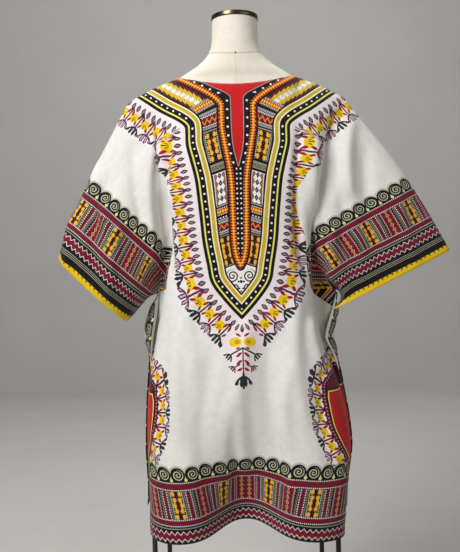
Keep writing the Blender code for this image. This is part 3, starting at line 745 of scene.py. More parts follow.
class Board:
    """Builds a node tree from sums and layers of colour."""

    def __init__(self, tree: bpy.types.NodeTree) -> None:
        """Hold the tree."""
        self.tree = tree

    def node(self, kind: str, **settings: Any) -> bpy.types.Node:
        """Add a node and set its options."""
        node = self.tree.nodes.new(kind)
        for key, value in settings.items():
            setattr(node, key, value)
        return node

    def feed(self, socket: bpy.types.NodeSocket, value: Any) -> None:
        """Link a wire to a socket, or set the socket's own value."""
        if isinstance(value, Wire):
            self.tree.links.new(value.socket, socket)
        else:
            socket.default_value = value

    def sum(self, operation: str, *values: Number, clamp: bool = False) -> Wire:
        """Add a Math node."""
        node = self.node("ShaderNodeMath", operation=operation, use_clamp=clamp)
        for socket, value in zip(node.inputs, values):
            self.feed(socket, value)
        return Wire(self, node.outputs[0])

    def paint(self, under: Colour, over: Colour, mask: Number) -> Wire:
        """Lay one colour over another where the mask holds."""
        node = self.node("ShaderNodeMix", data_type="RGBA")
        self.feed(node.inputs[0], mask)
        self.feed(node.inputs[6], under)
        self.feed(node.inputs[7], over)
        return Wire(self, node.outputs[2])

    def shade(self, under: Colour, over: Colour, mask: Number) -> Wire:
        """Darken one colour by another where the mask holds."""
        wire = self.paint(under, over, mask)
        wire.socket.node.blend_type = "MULTIPLY"
        return wire

    def bands(self, value: Wire, low: float, high: float, stops: Sequence[tuple[float, str]]) -> Wire:
        """Colour a value in flat bands.

        Args:
            value: What the bands follow.
            low: The value at the ramp's start.
            high: The value at its end.
            stops: Where each band starts, and its dye.

        Returns:
            The bands' colour.
        """
        share = value.scaled(1 / (high - low), -low / (high - low), clamp=True)
        node = self.node("ShaderNodeValToRGB")
        ramp = node.color_ramp
        ramp.interpolation = "CONSTANT"
        ramp.elements.remove(ramp.elements[1])
        for k, (start, dye) in enumerate(stops):
            place = min(max((start - low) / (high - low), 0), 1)
            stop = ramp.elements[0] if k == 0 else ramp.elements.new(place)
            stop.position = place
            stop.color = DYES[dye]
        self.feed(node.inputs[0], share)
        return Wire(self, node.outputs[0])

    def measures(self, name: str) -> tuple[Wire, Wire, Wire]:
        """Read one of the mesh's named measures."""
        node = self.node("ShaderNodeAttribute", attribute_name=name)
        split = self.node("ShaderNodeSeparateXYZ")
        self.tree.links.new(node.outputs["Vector"], split.inputs[0])
        return tuple(Wire(self, out) for out in split.outputs)

    def noise(self, vector: bpy.types.NodeSocket, scale: float, detail: float = 3.0) -> Wire:
        """Return soft noise between 0 and 1."""
        node = self.node("ShaderNodeTexNoise")
        node.inputs["Scale"].default_value = scale
        node.inputs["Detail"].default_value = detail
        self.tree.links.new(vector, node.inputs["Vector"])
        return Wire(self, node.outputs[0])

    def group(self, tree: bpy.types.NodeTree, **values: Any) -> Wire:
        """Place a node group with its inputs and return its output."""
        node = self.node("ShaderNodeGroup", node_tree=tree)
        for name, value in values.items():
            self.feed(node.inputs[name], value)
        return Wire(self, node.outputs[0])


class Coat:
    """Layers of colour on a board, each laid over those before it."""

    def __init__(self, board: Board, under: Colour) -> None:
        """Start from the colour beneath."""
        self.board = board
        self.under = under
        self.colour = under

    def lay(self, over: Union[str, Wire], mask: Number) -> None:
        """Lay a dye, by its name, or a wire's colour where the mask holds."""
        ink = DYES[over] if isinstance(over, str) else over
        self.colour = self.board.paint(self.colour, ink, mask)

    def keep(self, mask: Wire) -> None:
        """Keep the layers where the mask holds and show the colour beneath elsewhere."""
        self.colour = self.board.paint(self.under, self.colour, mask)


def print_group(name: str, draw: Callable[..., None], *measures: str) -> bpy.types.NodeTree:
    """Build a shared node group that draws one part of the print over a colour.

    Args:
        name: The group's name.
        draw: Lays the print on a coat, given the measures in their order.
        measures: Names of the numbers that the print reads.

    Returns:
        The tree, with the inputs Under and the measures and the output Color.
    """
    tree = bpy.data.node_groups.new(name, "ShaderNodeTree")
    tree.interface.new_socket("Under", in_out="INPUT", socket_type="NodeSocketColor")
    for measure in measures:
        tree.interface.new_socket(measure, in_out="INPUT", socket_type="NodeSocketFloat")
    tree.interface.new_socket("Color", in_out="OUTPUT", socket_type="NodeSocketColor")
    board = Board(tree)
    under, *given = (Wire(board, out) for out in board.node("NodeGroupInput").outputs if out.name)
    coat = Coat(board, under)
    draw(coat, *given)
    board.feed(board.node("NodeGroupOutput").inputs[0], coat.colour)
    return tree


def either(masks: Iterable[Wire]) -> Wire:
    """Return a mask of where any of several holds."""
    return functools.reduce(lambda one, other: one | other, masks)


def disc(a: Wire, b: Wire, radius: float) -> Wire:
    """Return a mask of a round spot."""
    return (a * a + b * b) < radius * radius


def oval(a: Wire, b: Wire, half_a: float, half_b: float) -> Wire:
    """Return a mask of an oval."""
    wide, high = a.scaled(1 / half_a), b.scaled(1 / half_b)
    return (wide * wide + high * high) < 1.0


def spiral(board: Board, a: Wire, b: Wire, pitch: float, half: float, reach: float) -> Wire:
    """Return a mask of a spiral line round the origin."""
    r = board.sum("SQRT", a * a + b * b)
    turn = board.sum("ARCTAN2", b, a)
    coil = (r + turn.scaled(-pitch / (2 * math.pi))).cell(pitch)
    return coil.near(0.0, half) * r.near(reach / 2, reach / 2 - 0.6)


def fork(board: Board, a: Wire, q: Wire, prong: float) -> tuple[Wire, Wire]:
    """Draw a leaf fork that opens away from its stem.

    Args:
        board: The board to draw on.
        a: Distance across from the stem's line.
        q: Distance out from the fork's foot.
        prong: The prongs' length.

    Returns:
        Masks of the whole fork and of the pale lines inside its prongs.
    """
    cup = q - (a * a) * 0.075
    side = abs(a / q.scaled(0.021, 0.86))
    centre = abs((side - 2.9).cell(5.8))
    slant = q + side.scaled(0.42)
    blade = (side < 11.4) * (cup > 0.0) * (slant < prong)
    thick = board.sum("MINIMUM", slant.scaled(-0.5, 0.5 * prong), 2.15)
    return blade * ((centre < thick) | (cup < 4.2)), blade * (cup > 3.0) * (centre < (thick - 1.45))


def draw_blobs(coat: Coat, zone: Wire, a: Wire, v: Wire, length: float) -> None:
    """Draw two wavy rows of five amber blobs on black, with maroon between them."""
    lump = length / 5
    side = abs(a)
    wave = coat.board.sum("COSINE", v.scaled(2 * math.pi / lump))
    sway = coat.board.sum("SINE", v.scaled(math.pi / lump)).scaled(0.8, 5.6)
    gap = v.fold(length / 2).near(lump, 1.1)
    half = wave.scaled(-0.9, 2.7) - gap * 3.6
    off = abs(side - sway)
    coat.lay("black", zone * (side < 11.0))
    coat.lay("maroon", zone * ((side + abs(v.cell(lump))) < 2.4))
    coat.lay("amber", zone * (off < half))
    coat.lay("yellow", zone * (off < half.scaled(1.0, -1.9)) * 0.6)
    coat.lay("cream", zone * side.near(10.2, 0.7) * v.cell(3.6).near(0.0, 1.0))


def draw_beads(coat: Coat, zone: Wire, z: Wire, w: Wire) -> None:
    """Draw a scarlet strip of amber beads between rows of white dots."""
    coat.lay("scarlet", zone)
    coat.lay("yellow", zone * oval(z.cell(4.6), w, 1.7, 2.9))
    coat.lay("black", zone * (abs(w) > 4.2))
    coat.lay("white", zone * disc(z.cell(3.2), abs(w) - 5.2, 0.95))


def draw_zigzag(coat: Coat, zone: Wire, z: Wire, w: Wire) -> None:
    """Draw an orange zigzag with fine lines on maroon between grey edges of small teeth."""
    off = w - (z.fold(4.6) - 2.3) * 1.5
    teeth = abs(w) + z.fold(2.3)
    coat.lay("maroon", zone * (abs(w) < 8.5))
    coat.lay("grey", zone * (teeth > 9.2))
    coat.lay("black", zone * teeth.near(10.6, 0.6))
    coat.lay("white", zone * teeth.near(8.8, 0.55))
    coat.lay("orange", zone * off.near(0.0, 1.9))
    coat.lay("crimson", zone * off.near(4.0, 0.9))


# Heights above the border's lower edge at which its bands start, with their dyes
BORDER_BANDS = (
    (-34, "yellow"), (-22, "black"), (3, "crimson"), (23, "black"), (25.2, "olive"), (27.4, "black"),
    (32.6, "crimson"), (40.4, "black"), (94.6, "crimson"), (104.4, "black"),
)
BORDER_DOTS = (31.3, 41.7, 93.3, 105.7)     # heights of its rows of white dots
SPIRAL_PITCH = 25.7
SPIRAL_HEIGHT = 119.6
BAR_PITCH = 92.5
BAR_FOOT = 43.0
BAR_LENGTH = 49.0


def draw_border(coat: Coat, along: Wire, b: Wire) -> None:
    """Draw the border of hem, cuffs and ties, from its edge up to the row of spirals."""
    scallop = b - SPIRAL_HEIGHT
    cell = along.cell(SPIRAL_PITCH)
    halo = cell * cell + scallop * scallop
    coat.lay("sage", (halo < 16.4 ** 2) * 0.55 * (b > 112.0))
    coat.lay(coat.board.bands(b, -34, 134, BORDER_BANDS), (b < 111.0) | (halo < 12.9 ** 2))
    coat.lay("sand", (b + 6.0).cell(3.3).near(0.0, 0.5) * b.near(-6.0, 5.4))
    tooth = b.scaled(1.0, 26.0) - abs(along.cell(10.0)).scaled(1.7)
    coat.lay("black", (tooth > 0.0) * (b < -22.0))
    wave = along.fold(5.2).scaled(1.15)
    upper, lower = (b - wave.scaled(1.0, rise) for rise in (15.2, 4.6))
    band = b.near(13.0, 10.0)
    coat.lay("black", band * ((upper > 0.0) | (lower < 0.0)))
    coat.lay("blush", band * (upper.near(1.0, 0.95) | lower.near(-1.0, 0.95)))
    dots = either(b.near(height, 0.95) for height in BORDER_DOTS)
    coat.lay("white", dots * along.cell(3.4).near(0.0, 0.95))
    draw_bars(coat, along, b)
    coat.lay("lichen", spiral(coat.board, cell, scallop, 4.6, 0.9, 10.2) * (b > 106.5))
    point = (SPIRAL_PITCH / 2 - abs(cell)) + abs(b - 109.6).scaled(1.1)
    coat.lay("pale", (point < 3.0) * (b > 106.6))


def draw_bars(coat: Coat, along: Wire, b: Wire) -> None:
    """Draw the border's broad band: ribs, chained blocks and rows of blobs in turn."""
    zone = b.near(67.5, 24.6)
    v = b - BAR_FOOT
    p = abs(along.cell(BAR_PITCH))
    rib = abs(p - 24.8)
    stripes = coat.board.bands(rib, 0, 11, ((0, "crimson"), (3.1, "black"), (6.6, "olive"), (7.8, "black")))
    coat.lay(stripes, zone * (rib < 9.6))
    coat.lay("white", zone * rib.near(4.2, 0.9) * v.cell(4.2).near(0.0, 1.15))
    coat.lay("olive", zone * rib.near(9.4, 0.5) * v.cell(4.2).near(0.0, 1.2))
    middle = abs(along) < 24.0
    edge = p - middle * 6.4
    block = zone * (edge < 14.0)
    coat.lay("crimson", block)
    edge = edge - v.fold(2.6).scaled(0.9, 9.4)
    coat.lay("black", block * (edge > 1.6))
    coat.lay("rose", block * edge.near(0.3, 0.75))
    chain = abs(p - middle * 7.0) + abs(v.cell(9.8)).scaled(0.75)
    coat.lay("wheat", block * (chain.near(3.0, 0.8) | (chain < 0.9)))
    draw_blobs(coat, zone * (p > 35.2), (along + BAR_PITCH / 2).cell(BAR_PITCH), v, BAR_LENGTH)


def draw_ring(coat: Coat, d: Wire, run: Wire) -> None:
    """Draw the ring of seeds, stems, lobes and leaf forks that goes round an outline."""
    board = coat.board
    s = run + FAN_RADIUS * math.pi / 4
    coat.lay("halo", d.scaled(-1 / 5.0, 66.0 / 5.0, clamp=True))
    swell = d - 13.5
    seed = abs(s.cell(SEED_PITCH)) - (swell.scaled(0.16, 3.3) - swell * swell * 0.064)
    coat.lay("wine", seed < 0.0)
    coat.lay("mauve", seed < -2.1)
    a = s.cell(STEM_PITCH)
    side = abs(a)
    other = abs(s.cell(2 * STEM_PITCH)) < STEM_PITCH / 2
    ring_part = (s > 13.0) | (d < 20.0)
    lobe_a = (s + STEM_PITCH / 2).cell(STEM_PITCH)
    coat.lay("yellow", oval(lobe_a, d - 33.5, 8.6, 8.8) * (s > 22.0))
    rays = board.sum("ARCTAN2", lobe_a, d - 27.0).cell(0.34).near(0.0, 0.075)
    coat.lay("vein", rays * oval(lobe_a, d - 36.5, 3.6, 4.6) * (s > 22.0))
    near_leaf, far_leaf = d - 26.5, d - 41.0
    red = (abs(side - near_leaf.scaled(0.16, 4.5)) + (near_leaf * near_leaf) * 0.052) < 2.2
    red = red | ((abs(side - far_leaf.scaled(-0.28, 5.0)) + (far_leaf * far_leaf) * 0.085) < 2.0)
    coat.lay("ruby", red * ring_part)
    bud = (side + abs(d - 21.0).scaled(0.55)) < 3.3
    stem = (side < 1.35) * d.near(33.5, 13.0)
    whole, pale = fork(board, a, d - 45.5, 19.0)
    coat.lay(board.paint(DYES["ink"], DYES["grape"], other), (bud | stem | whole) * ring_part)
    coat.lay("lilac", pale * other * ring_part)
    coat.keep(d.near(RING_DEPTH / 2, RING_DEPTH / 2))


def draw_spray(coat: Coat, x: Wire, h: Wire) -> None:
    """Draw the spray of leaves below the yoke's point."""
    board = coat.board
    waist = abs(h - 322.0)
    zone = ((x + waist.scaled(0.46)) < 40.0) * (h < 352.0) * (h > 268.0)
    coat.lay("halo", zone * ((x + waist.scaled(0.62)) < 35.0))
    eye = h - 346.5
    coat.lay("yellow", oval(x - 12.2, eye, 10.6, 8.2))
    rays = board.sum("ARCTAN2", eye, x - 4.0).cell(0.3).near(0.0, 0.07)
    coat.lay("vein", rays * oval(x - 9.0, eye, 4.6, 3.8))
    slope = x.scaled(0.62) + h
    leaf = x - 6.6
    red = (abs((slope - 292.0).cell(12.4)) + (leaf * leaf) * 0.1) < 2.9
    red = red * h.near(318.0, 19.5) * (slope > 298.0) * (slope < 346.0)
    top = (abs(x.scaled(-0.55) + h - 354.5) + (x - 7.0) * (x - 7.0) * 0.09) < 2.3
    coat.lay("ruby", red | top)
    stem = (x < 1.1) * h.near(311.0, 26.0)
    arm = (x.scaled(0.5) + h - 336.0).near(0.0, 1.5) * (x < 20.0)
    low_arm = (x.scaled(0.5) + h - 312.0).near(0.0, 1.3) * x.near(10.0, 5.0)
    hands = []
    for foot_x, foot_h, wide, long in ((20.5, 326.5, 1.35, 1.3), (14.5, 306.0, 1.6, 1.6)):
        a, q = x - foot_x, h - foot_h
        hands.append(fork(board, (a * 0.75 + q * 0.66) * wide, (a * 0.66 - q * 0.75) * long, 17.0)[0])
    foot, _ = fork(board, x.scaled(0.86), (h - 291.0) * -0.95, 20.0)
    foot = foot | ((x < 2.0) * h.near(282.0, 13.0))
    coat.lay("ink", stem | arm | hands[0] | foot)
    coat.lay("grape", low_arm | hands[1])


# Depths inside the yoke's outline, and heights along its courses, at which flat bands start
YOKE_LINES = (
    (0, "black"), (5.5, "pale"), (8.3, "black"), (18, "cream"), (20.2, "gold"), (26.4, "cream"),
    (28.4, "black"),
)
YOKE_BLOCKS = (
    (470, "white"), (476, "black"), (477.8, "grey"), (479.4, "black"), (528.6, "grey"),
    (530.2, "black"), (532.5, "grey"), (558.5, "black"), (580.8, "grey"), (582.4, "black"),
    (584.5, "white"), (637.5, "black"), (642, "olive"), (654, "black"), (711.6, "grey"),
    (713.6, "black"), (717, "grey"), (744, "black"),
)
YOKE_TOP = (
    (31, "maroon"), (36.5, "gold"), (44, "white"), (47.2, "grey"), (48.2, "white"), (51, "gold"),
    (58, "maroon"), (64, "black"),
)
# Middle height and half height of the courses of each kind
BLOB_COURSES = ((504.0, 23.4), (685.0, 25.2))
ZIGZAG_COURSES = ((545.5, 12.8), (730.5, 13.2))
BEAD_COURSE = (572.6, 6.6)
LACE_COURSE = (611.0, 26.4)
DIAMOND_COURSE = (648.0, 5.8)
DOT_COURSE = 561.6


def draw_courses(coat: Coat, column: Wire, a: Wire, t: Wire) -> None:
    """Draw the yoke's courses one above the other, a across them and t up their column."""
    for middle, half in BLOB_COURSES:
        draw_blobs(coat, column * t.near(middle, half), a, t - (middle - half), 2 * half)
    for middle, half in ZIGZAG_COURSES:
        draw_zigzag(coat, column * t.near(middle, half), a, t - middle)
    coat.lay("white", column * disc(a.cell(5.0), t - DOT_COURSE, 1.3))
    draw_beads(coat, column * t.near(*BEAD_COURSE), a, t - BEAD_COURSE[0])
    zone = column * t.near(*LACE_COURSE)
    coat.lay("brown", zone * ((abs(a) - t.fold(6.6).scaled(0.55)) > 3.6))
    coat.lay("white", zone * abs(a).near(10.3, 0.6))
    chain = abs(a) + abs(t.cell(13.2)).scaled(0.62)
    coat.lay("black", zone * (chain < 3.5))
    coat.lay("grey", zone * (chain < 1.3))
    diamond = abs(a.cell(4.2)) + abs(t - DIAMOND_COURSE[0]).scaled(0.7)
    coat.lay("maroon", column * t.near(*DIAMOND_COURSE) * diamond.near(2.2, 0.6))
    frames = abs(abs(a) - 12.6) < 0.7
    coat.lay("olive", column * frames * (t.near(685.0, 25.0) | t.near(504.0, 22.0)))


def draw_scrolls(coat: Coat, low: Wire, x: Wire, h: Wire) -> None:
    """Draw the scrolls and the small flower at the yoke's point."""
    for cx, cy, pitch, reach, way in ((14.5, 460.0, 5.4, 12.0, 1.0), (10.0, 438.5, 4.8, 8.4, -1.0)):
        coat.lay("black", low * spiral(coat.board, (x - cx) * way, h - cy, pitch, 1.15, reach))
    flower = either(disc(x - px, h - ph, radius) for px, ph, radius in (
        (0.0, 450.0, 2.6), (4.6, 450.0, 1.7), (0.0, 456.5, 1.6), (3.0, 438.0, 1.5)))
    coat.lay("black", low * (flower | (x + abs(h - 429.5).scaled(0.7)).near(3.4, 0.9)))


def draw_chain(coat: Coat, inner: Wire, c: Wire, v: Wire, x: Wire, h: Wire) -> None:
    """Draw the beaded chain and, inside it, the black band round the red placket."""
    run = h + (x.scaled(0.8) - h * 0.4) * (x > 30.0)
    coat.lay("black", inner * (c < 8.4))
    coat.lay("orange", inner * (c < 5.2))
    coat.lay("oxblood", inner * run.cell(5.0).near(0.0, 1.5) * abs(c).near(4.1, 2.1))
    coat.lay("oxblood", inner * (c < 6.2) * (c > 4.6))
    coat.lay("saffron", inner * oval((run + 2.5).cell(5.0), c, 1.7, 2.0))
    band = inner * (c < -5.2)
    coat.lay("black", band)
    dots = disc(v - 6.8, run.cell(16.0), 1.9) * (h > 652.0)
    dots = dots | (disc(x - 3.3, h.cell(8.6), 1.5) * (h < 648.0))
    coat.lay("white", band * dots)
    coat.lay("grey", band * (v < 1.3))
    coat.lay("scarlet", band * (v < 0.0))


def draw_yoke(coat: Coat, d: Wire, run: Wire, c: Wire, v: Wire, t: Wire, x: Wire, h: Wire) -> None:
    """Draw the yoke inside its outline, from the outer lines to the red placket.

    Args:
        coat: What the yoke is laid on.
        d: Distance from the yoke's outline, negative inside.
        run: Length run along the outline.
        c: Distance from the beaded chain's line.
        v: Distance from the placket's line.
        t: Height along the courses.
        x: Distance from the print's middle.
        h: Height above the hem.
    """
    depth = d * -1.0
    coat.colour = coat.board.bands(depth, 0, 34, YOKE_LINES)
    mottle = (run.cell(5.1) * depth.cell(3.7)).cell(1.9) > 0.35
    coat.lay("ochre", mottle * depth.near(23.3, 2.4))
    coat.lay("white", disc(run.cell(13.2), depth - 13.2, 1.75))
    inner = depth > 31.4
    coat.lay(coat.board.bands(t, 470, 752, YOKE_BLOCKS), inner)
    column = inner * (c > 7.0)
    draw_courses(coat, column, (c + d).scaled(0.5, 12.25), t)
    w = x.scaled(SHOULDER_SLOPE[0], -701.3) + h * SHOULDER_SLOPE[1]
    z = x * -SHOULDER_SLOPE[1] + h * SHOULDER_SLOPE[0]
    top = column * (w > -8.0)
    jag = depth + z.fold(2.4).scaled(1.5, -1.0)
    coat.lay(coat.board.bands(jag, 31, 76, YOKE_TOP), top)
    coat.lay("olive", top * (w < 8.2))
    draw_beads(coat, top * (abs(w) < 6.4), z, w)
    draw_scrolls(coat, inner * (t < 476.0), x, h)
    draw_chain(coat, inner, c, v, x, h)
    coat.keep(d < 0.0)


def draw_medallion(coat: Coat, d: Wire, run: Wire, h: Wire) -> None:
    """Draw the side medallion inside its outline."""
    depth = d * -1.0
    inner = coat.board.sum("MINIMUM", depth - 11.0, 256.0 - h)
    coat.colour = DYES["crimson"]
    coat.lay("black", (depth < 1.4) | depth.near(7.6, 0.7))
    coat.lay("petal", disc(run.cell(6.2), depth - 4.6, 1.1))
    strokes = (h - 270.0) - abs(run.cell(9.0) - 1.0) * 9.0
    coat.lay("black", (abs(strokes) < 9.0) * (depth > 8.5) * (h > 262.0))
    coat.lay("black", inner.near(-2.0, 1.2) | (inner.near(-5.2, 0.9) * (h > 256.0)))
    coat.lay("pale", inner.near(0.2, 1.0))
    coat.lay("scarlet", inner > 1.2)
    coat.keep(depth > 0.0)


def uneven(board: Board, u: Wire, v: Wire, scale: float) -> Wire:
    """Return soft noise over the cloth, between 0 and 1."""
    vector = board.node("ShaderNodeCombineXYZ")
    board.feed(vector.inputs[0], u)
    board.feed(vector.inputs[1], v)
    return board.noise(vector.outputs[0], scale, 2.0)


def new_material(name: str) -> tuple[bpy.types.Material, Board, bpy.types.Node]:
    """Start a node material.

    Args:
        name: The material's name.

    Returns:
        The material, a board on its tree and its Principled shader.
    """
    material = bpy.data.materials.new(name)
    material.use_nodes = True
    return material, Board(material.node_tree), material.node_tree.nodes["Principled BSDF"]


def set_bump(board: Board, shader: bpy.types.Node, height: Wire, strength: float, depth: float) -> None:
    """Feed a height to the shader's normal through a Bump node, its depth in metres."""
    bump = board.node("ShaderNodeBump")
    bump.inputs["Strength"].default_value = strength
    bump.inputs["Distance"].default_value = depth
    board.feed(bump.inputs["Height"], height)
    board.tree.links.new(bump.outputs[0], shader.inputs["Normal"])


@dataclass(frozen=True)
class PrintedCotton:
    """Matt plain-woven cotton with the tunic's print on both sides."""

    thread: float = 0.55
    stitch_from_edge: float = 7.0
    roughness: float = 0.86

    def build(self) -> bpy.types.Material:
        """Build the material that draws the whole print from the cloth's measures."""
        material, board, shader = new_material("printed_cotton")
        hem, cuff, cuff_along = board.measures("edges")
        uv = board.node("ShaderNodeUVMap", uv_map="cloth")
        split = board.node("ShaderNodeSeparateXYZ")
        board.tree.links.new(uv.outputs[0], split.inputs[0])
        u, v = (Wire(board, out).scaled(1000.0) for out in split.outputs[:2])
        colour = self.draw_print(board, u, hem, cuff, cuff_along)
        thread = either(edge.near(self.stitch_from_edge, 0.45) * run.cell(3.0).near(0.0, 1.05)
                        for edge, run in ((hem, u), (cuff, cuff_along)))
        colour = board.paint(colour, DYES["thread"], thread * 0.75)
        pace = math.pi / self.thread
        weave = board.sum("SINE", u.scaled(pace)) * board.sum("SINE", v.scaled(pace))
        tone, fade = uneven(board, u, v, 0.08), uneven(board, u, v, 0.0096)
        for shadow, strength in (("DAD6D0", tone.scaled(0.6, -0.2, clamp=True)),
                                 ("E4E0DA", fade.scaled(0.9, -0.35, clamp=True)),
                                 ("A8A098", weave.scaled(0.1, 0.1, clamp=True))):
            colour = board.shade(colour, tint(shadow), strength)
        board.feed(shader.inputs["Base Color"], colour)
        board.feed(shader.inputs["Roughness"], tone.scaled(0.12, self.roughness - 0.06))
        shader.inputs["Specular IOR Level"].default_value = 0.25
        shader.inputs["Sheen Weight"].default_value = 0.12
        shader.inputs["Sheen Roughness"].default_value = 0.5
        relief = weave.scaled(0.16) + tone.scaled(0.5) - thread * 0.8
        set_bump(board, shader, relief, 0.35, 0.0006)
        return material

    @staticmethod
    def draw_print(board: Board, u: Wire, hem: Wire, cuff: Wire, cuff_along: Wire) -> Wire:
        """Lay ring, spray, medallions, borders and yoke over the ground and return the colour."""
        distance, run, kind = board.measures("ornament")
        chain, placket, course = board.measures("yoke")
        side, height, reach = board.measures("place")
        at_side = kind > 0.5
        ring = print_group("leaf_ring", draw_ring, "Distance", "Run")
        spray = print_group("leaf_spray", draw_spray, "Side", "Height")
        medallion = print_group("side_medallion", draw_medallion, "Distance", "Run", "Height")
        border = print_group("border_print", draw_border, "Along", "Height")
        yoke = print_group("yoke_print", draw_yoke,
                           "Distance", "Run", "Chain", "Placket", "Course", "Side", "Height")
        leaves = board.group(ring, Under=DYES["ground"], Distance=distance, Run=run)
        sprayed = board.group(spray, Under=leaves, Side=abs(side), Height=height)
        colour = board.paint(DYES["ground"], board.paint(sprayed, leaves, at_side), (reach > 0.0) | at_side)
        side_print = board.group(medallion, Under=colour, Distance=distance - SEED_DEPTH, Run=run,
                                 Height=height)
        colour = board.paint(colour, side_print, at_side)
        colour = board.group(border, Under=colour, Along=u, Height=hem)
        cuffed = board.group(border, Under=colour, Along=cuff_along,
                             Height=cuff.scaled(CUFF_SCALE, -CUFF_MARGIN))
        colour = board.paint(colour, cuffed, reach < 0.001)
        yoked = board.group(yoke, Under=colour, Distance=distance, Run=run, Chain=chain,
                            Placket=placket, Course=course, Side=abs(side), Height=height)
        return board.paint(yoked, colour, at_side)


@dataclass(frozen=True)
class FormJersey:
    """Close-knit ivory cover with a middle seam and a seam round the neck's foot."""

    wale: float = 1.3
    neck_seam: float = 861.0

    def build(self) -> bpy.types.Material:
        """Build the cover's material on Object coordinates."""
        material, board, shader = new_material("form_jersey")
        place = board.node("ShaderNodeTexCoord")
        split = board.node("ShaderNodeSeparateXYZ")
        board.tree.links.new(place.outputs["Object"], split.inputs[0])
        x, y, z = (Wire(board, out).scaled(1000.0) for out in split.outputs)
        x, h = x - float(AXIS[0]), z - HEM_HEIGHT
        grain = board.noise(place.outputs["Object"], 60.0)
        cloud = board.noise(place.outputs["Object"], 7.0)
        knit = board.sum("SINE", x.scaled(2 * math.pi / self.wale)) \
            * board.sum("SINE", z.scaled(2 * math.pi / self.wale))
        seam = (abs(x) < 0.8) * (h < self.neck_seam) * 0.4
        round_seam = abs(h - (x * x).scaled(0.003, self.neck_seam)) < 0.9
        button = disc(x, h - 862.0, 1.7) * (y < 0.0)
        colour = board.paint(tint("F3EEE0"), tint("DDD3BD"), cloud.scaled(1.1, -0.3, clamp=True))
        colour = board.paint(colour, tint("CFC4AC"), grain.scaled(0.7, -0.26, clamp=True))
        colour = board.paint(colour, tint("B9AD94"), (seam | round_seam) * 0.75)
        colour = board.paint(colour, tint("5A5046"), button)
        board.feed(shader.inputs["Base Color"], colour)
        board.feed(shader.inputs["Roughness"], grain.scaled(0.15, 0.76))
        shader.inputs["Sheen Weight"].default_value = 0.15
        relief = knit.scaled(0.25) + grain.scaled(0.5) - (seam | round_seam) * 1.2
        set_bump(board, shader, relief, 0.3, 0.0007)
        return material


class MetalTone(Enum):
    """The stand's two metal finishes."""

    BLACK = ("black_metal", "17161A", 0.35, 0.42)
    CAP = ("cap_metal", "6A5F4B", 0.95, 0.26)


@dataclass(frozen=True)
class CoatedMetal:
    """Coated metal with a fine orange-peel surface and light wear."""

    tone: MetalTone

    def build(self) -> bpy.types.Material:
        """Build the metal's material on Object coordinates."""
        name, dye, metallic, rough = self.tone.value
        material, board, shader = new_material(name)
        place = board.node("ShaderNodeTexCoord").outputs["Object"]
        peel, cloud = board.noise(place, 900.0), board.noise(place, 22.0)
        board.feed(shader.inputs["Base Color"],
                   board.paint(tint(dye), tint("4C4541"), cloud.scaled(1.2, -0.5, clamp=True)))
        shader.inputs["Metallic"].default_value = metallic
        board.feed(shader.inputs["Roughness"], cloud.scaled(0.2, rough - 0.08))
        set_bump(board, shader, peel, 0.12, 0.0003)
        return material


@dataclass(frozen=True)
class FootRubber:
    """Matt black rubber with a dusty bloom."""

    def build(self) -> bpy.types.Material:
        """Build the rubber's material on Object coordinates."""
        material, board, shader = new_material("foot_rubber")
        place = board.node("ShaderNodeTexCoord").outputs["Object"]
        dust, grit = board.noise(place, 45.0), board.noise(place, 1500.0)
        board.feed(shader.inputs["Base Color"],
                   board.paint(tint("151413"), tint("3A3733"), dust.scaled(1.1, -0.4, clamp=True)))
        board.feed(shader.inputs["Roughness"], dust.scaled(0.2, 0.62))
        set_bump(board, shader, grit, 0.2, 0.0003)
        return material


def dress(piece: bpy.types.Object, material: bpy.types.Material, slot: str, *nodes: str) -> None:
    """Give a piece its material and say which nodes it stands for."""
    piece.data.materials.clear()
    piece.data.materials.append(material)
    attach(piece, "root")
    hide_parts(*nodes)
    LOG.info("%s: %d faces, for %s", piece.name, len(piece.data.polygons), ", ".join(nodes))


@dataclass
class Tunic:
    """Back and front panels, each cut in one with its half sleeves."""

    cloth: bpy.types.Material
    flat: dict[str, tuple[float, float]]

    def build(self) -> None:
        """Build and dress both panels."""
        for face in ("back", "front"):
            piece, area = build_cloth("tunic_" + face, PanelSurface(face).grids(), CLOTH_THICK)
            dress(piece, self.cloth, "printed_cotton", face + "_panel")
            LOG.info("tunic_%s: cloth area %.4f m2", face, area)
            self.flat[face]


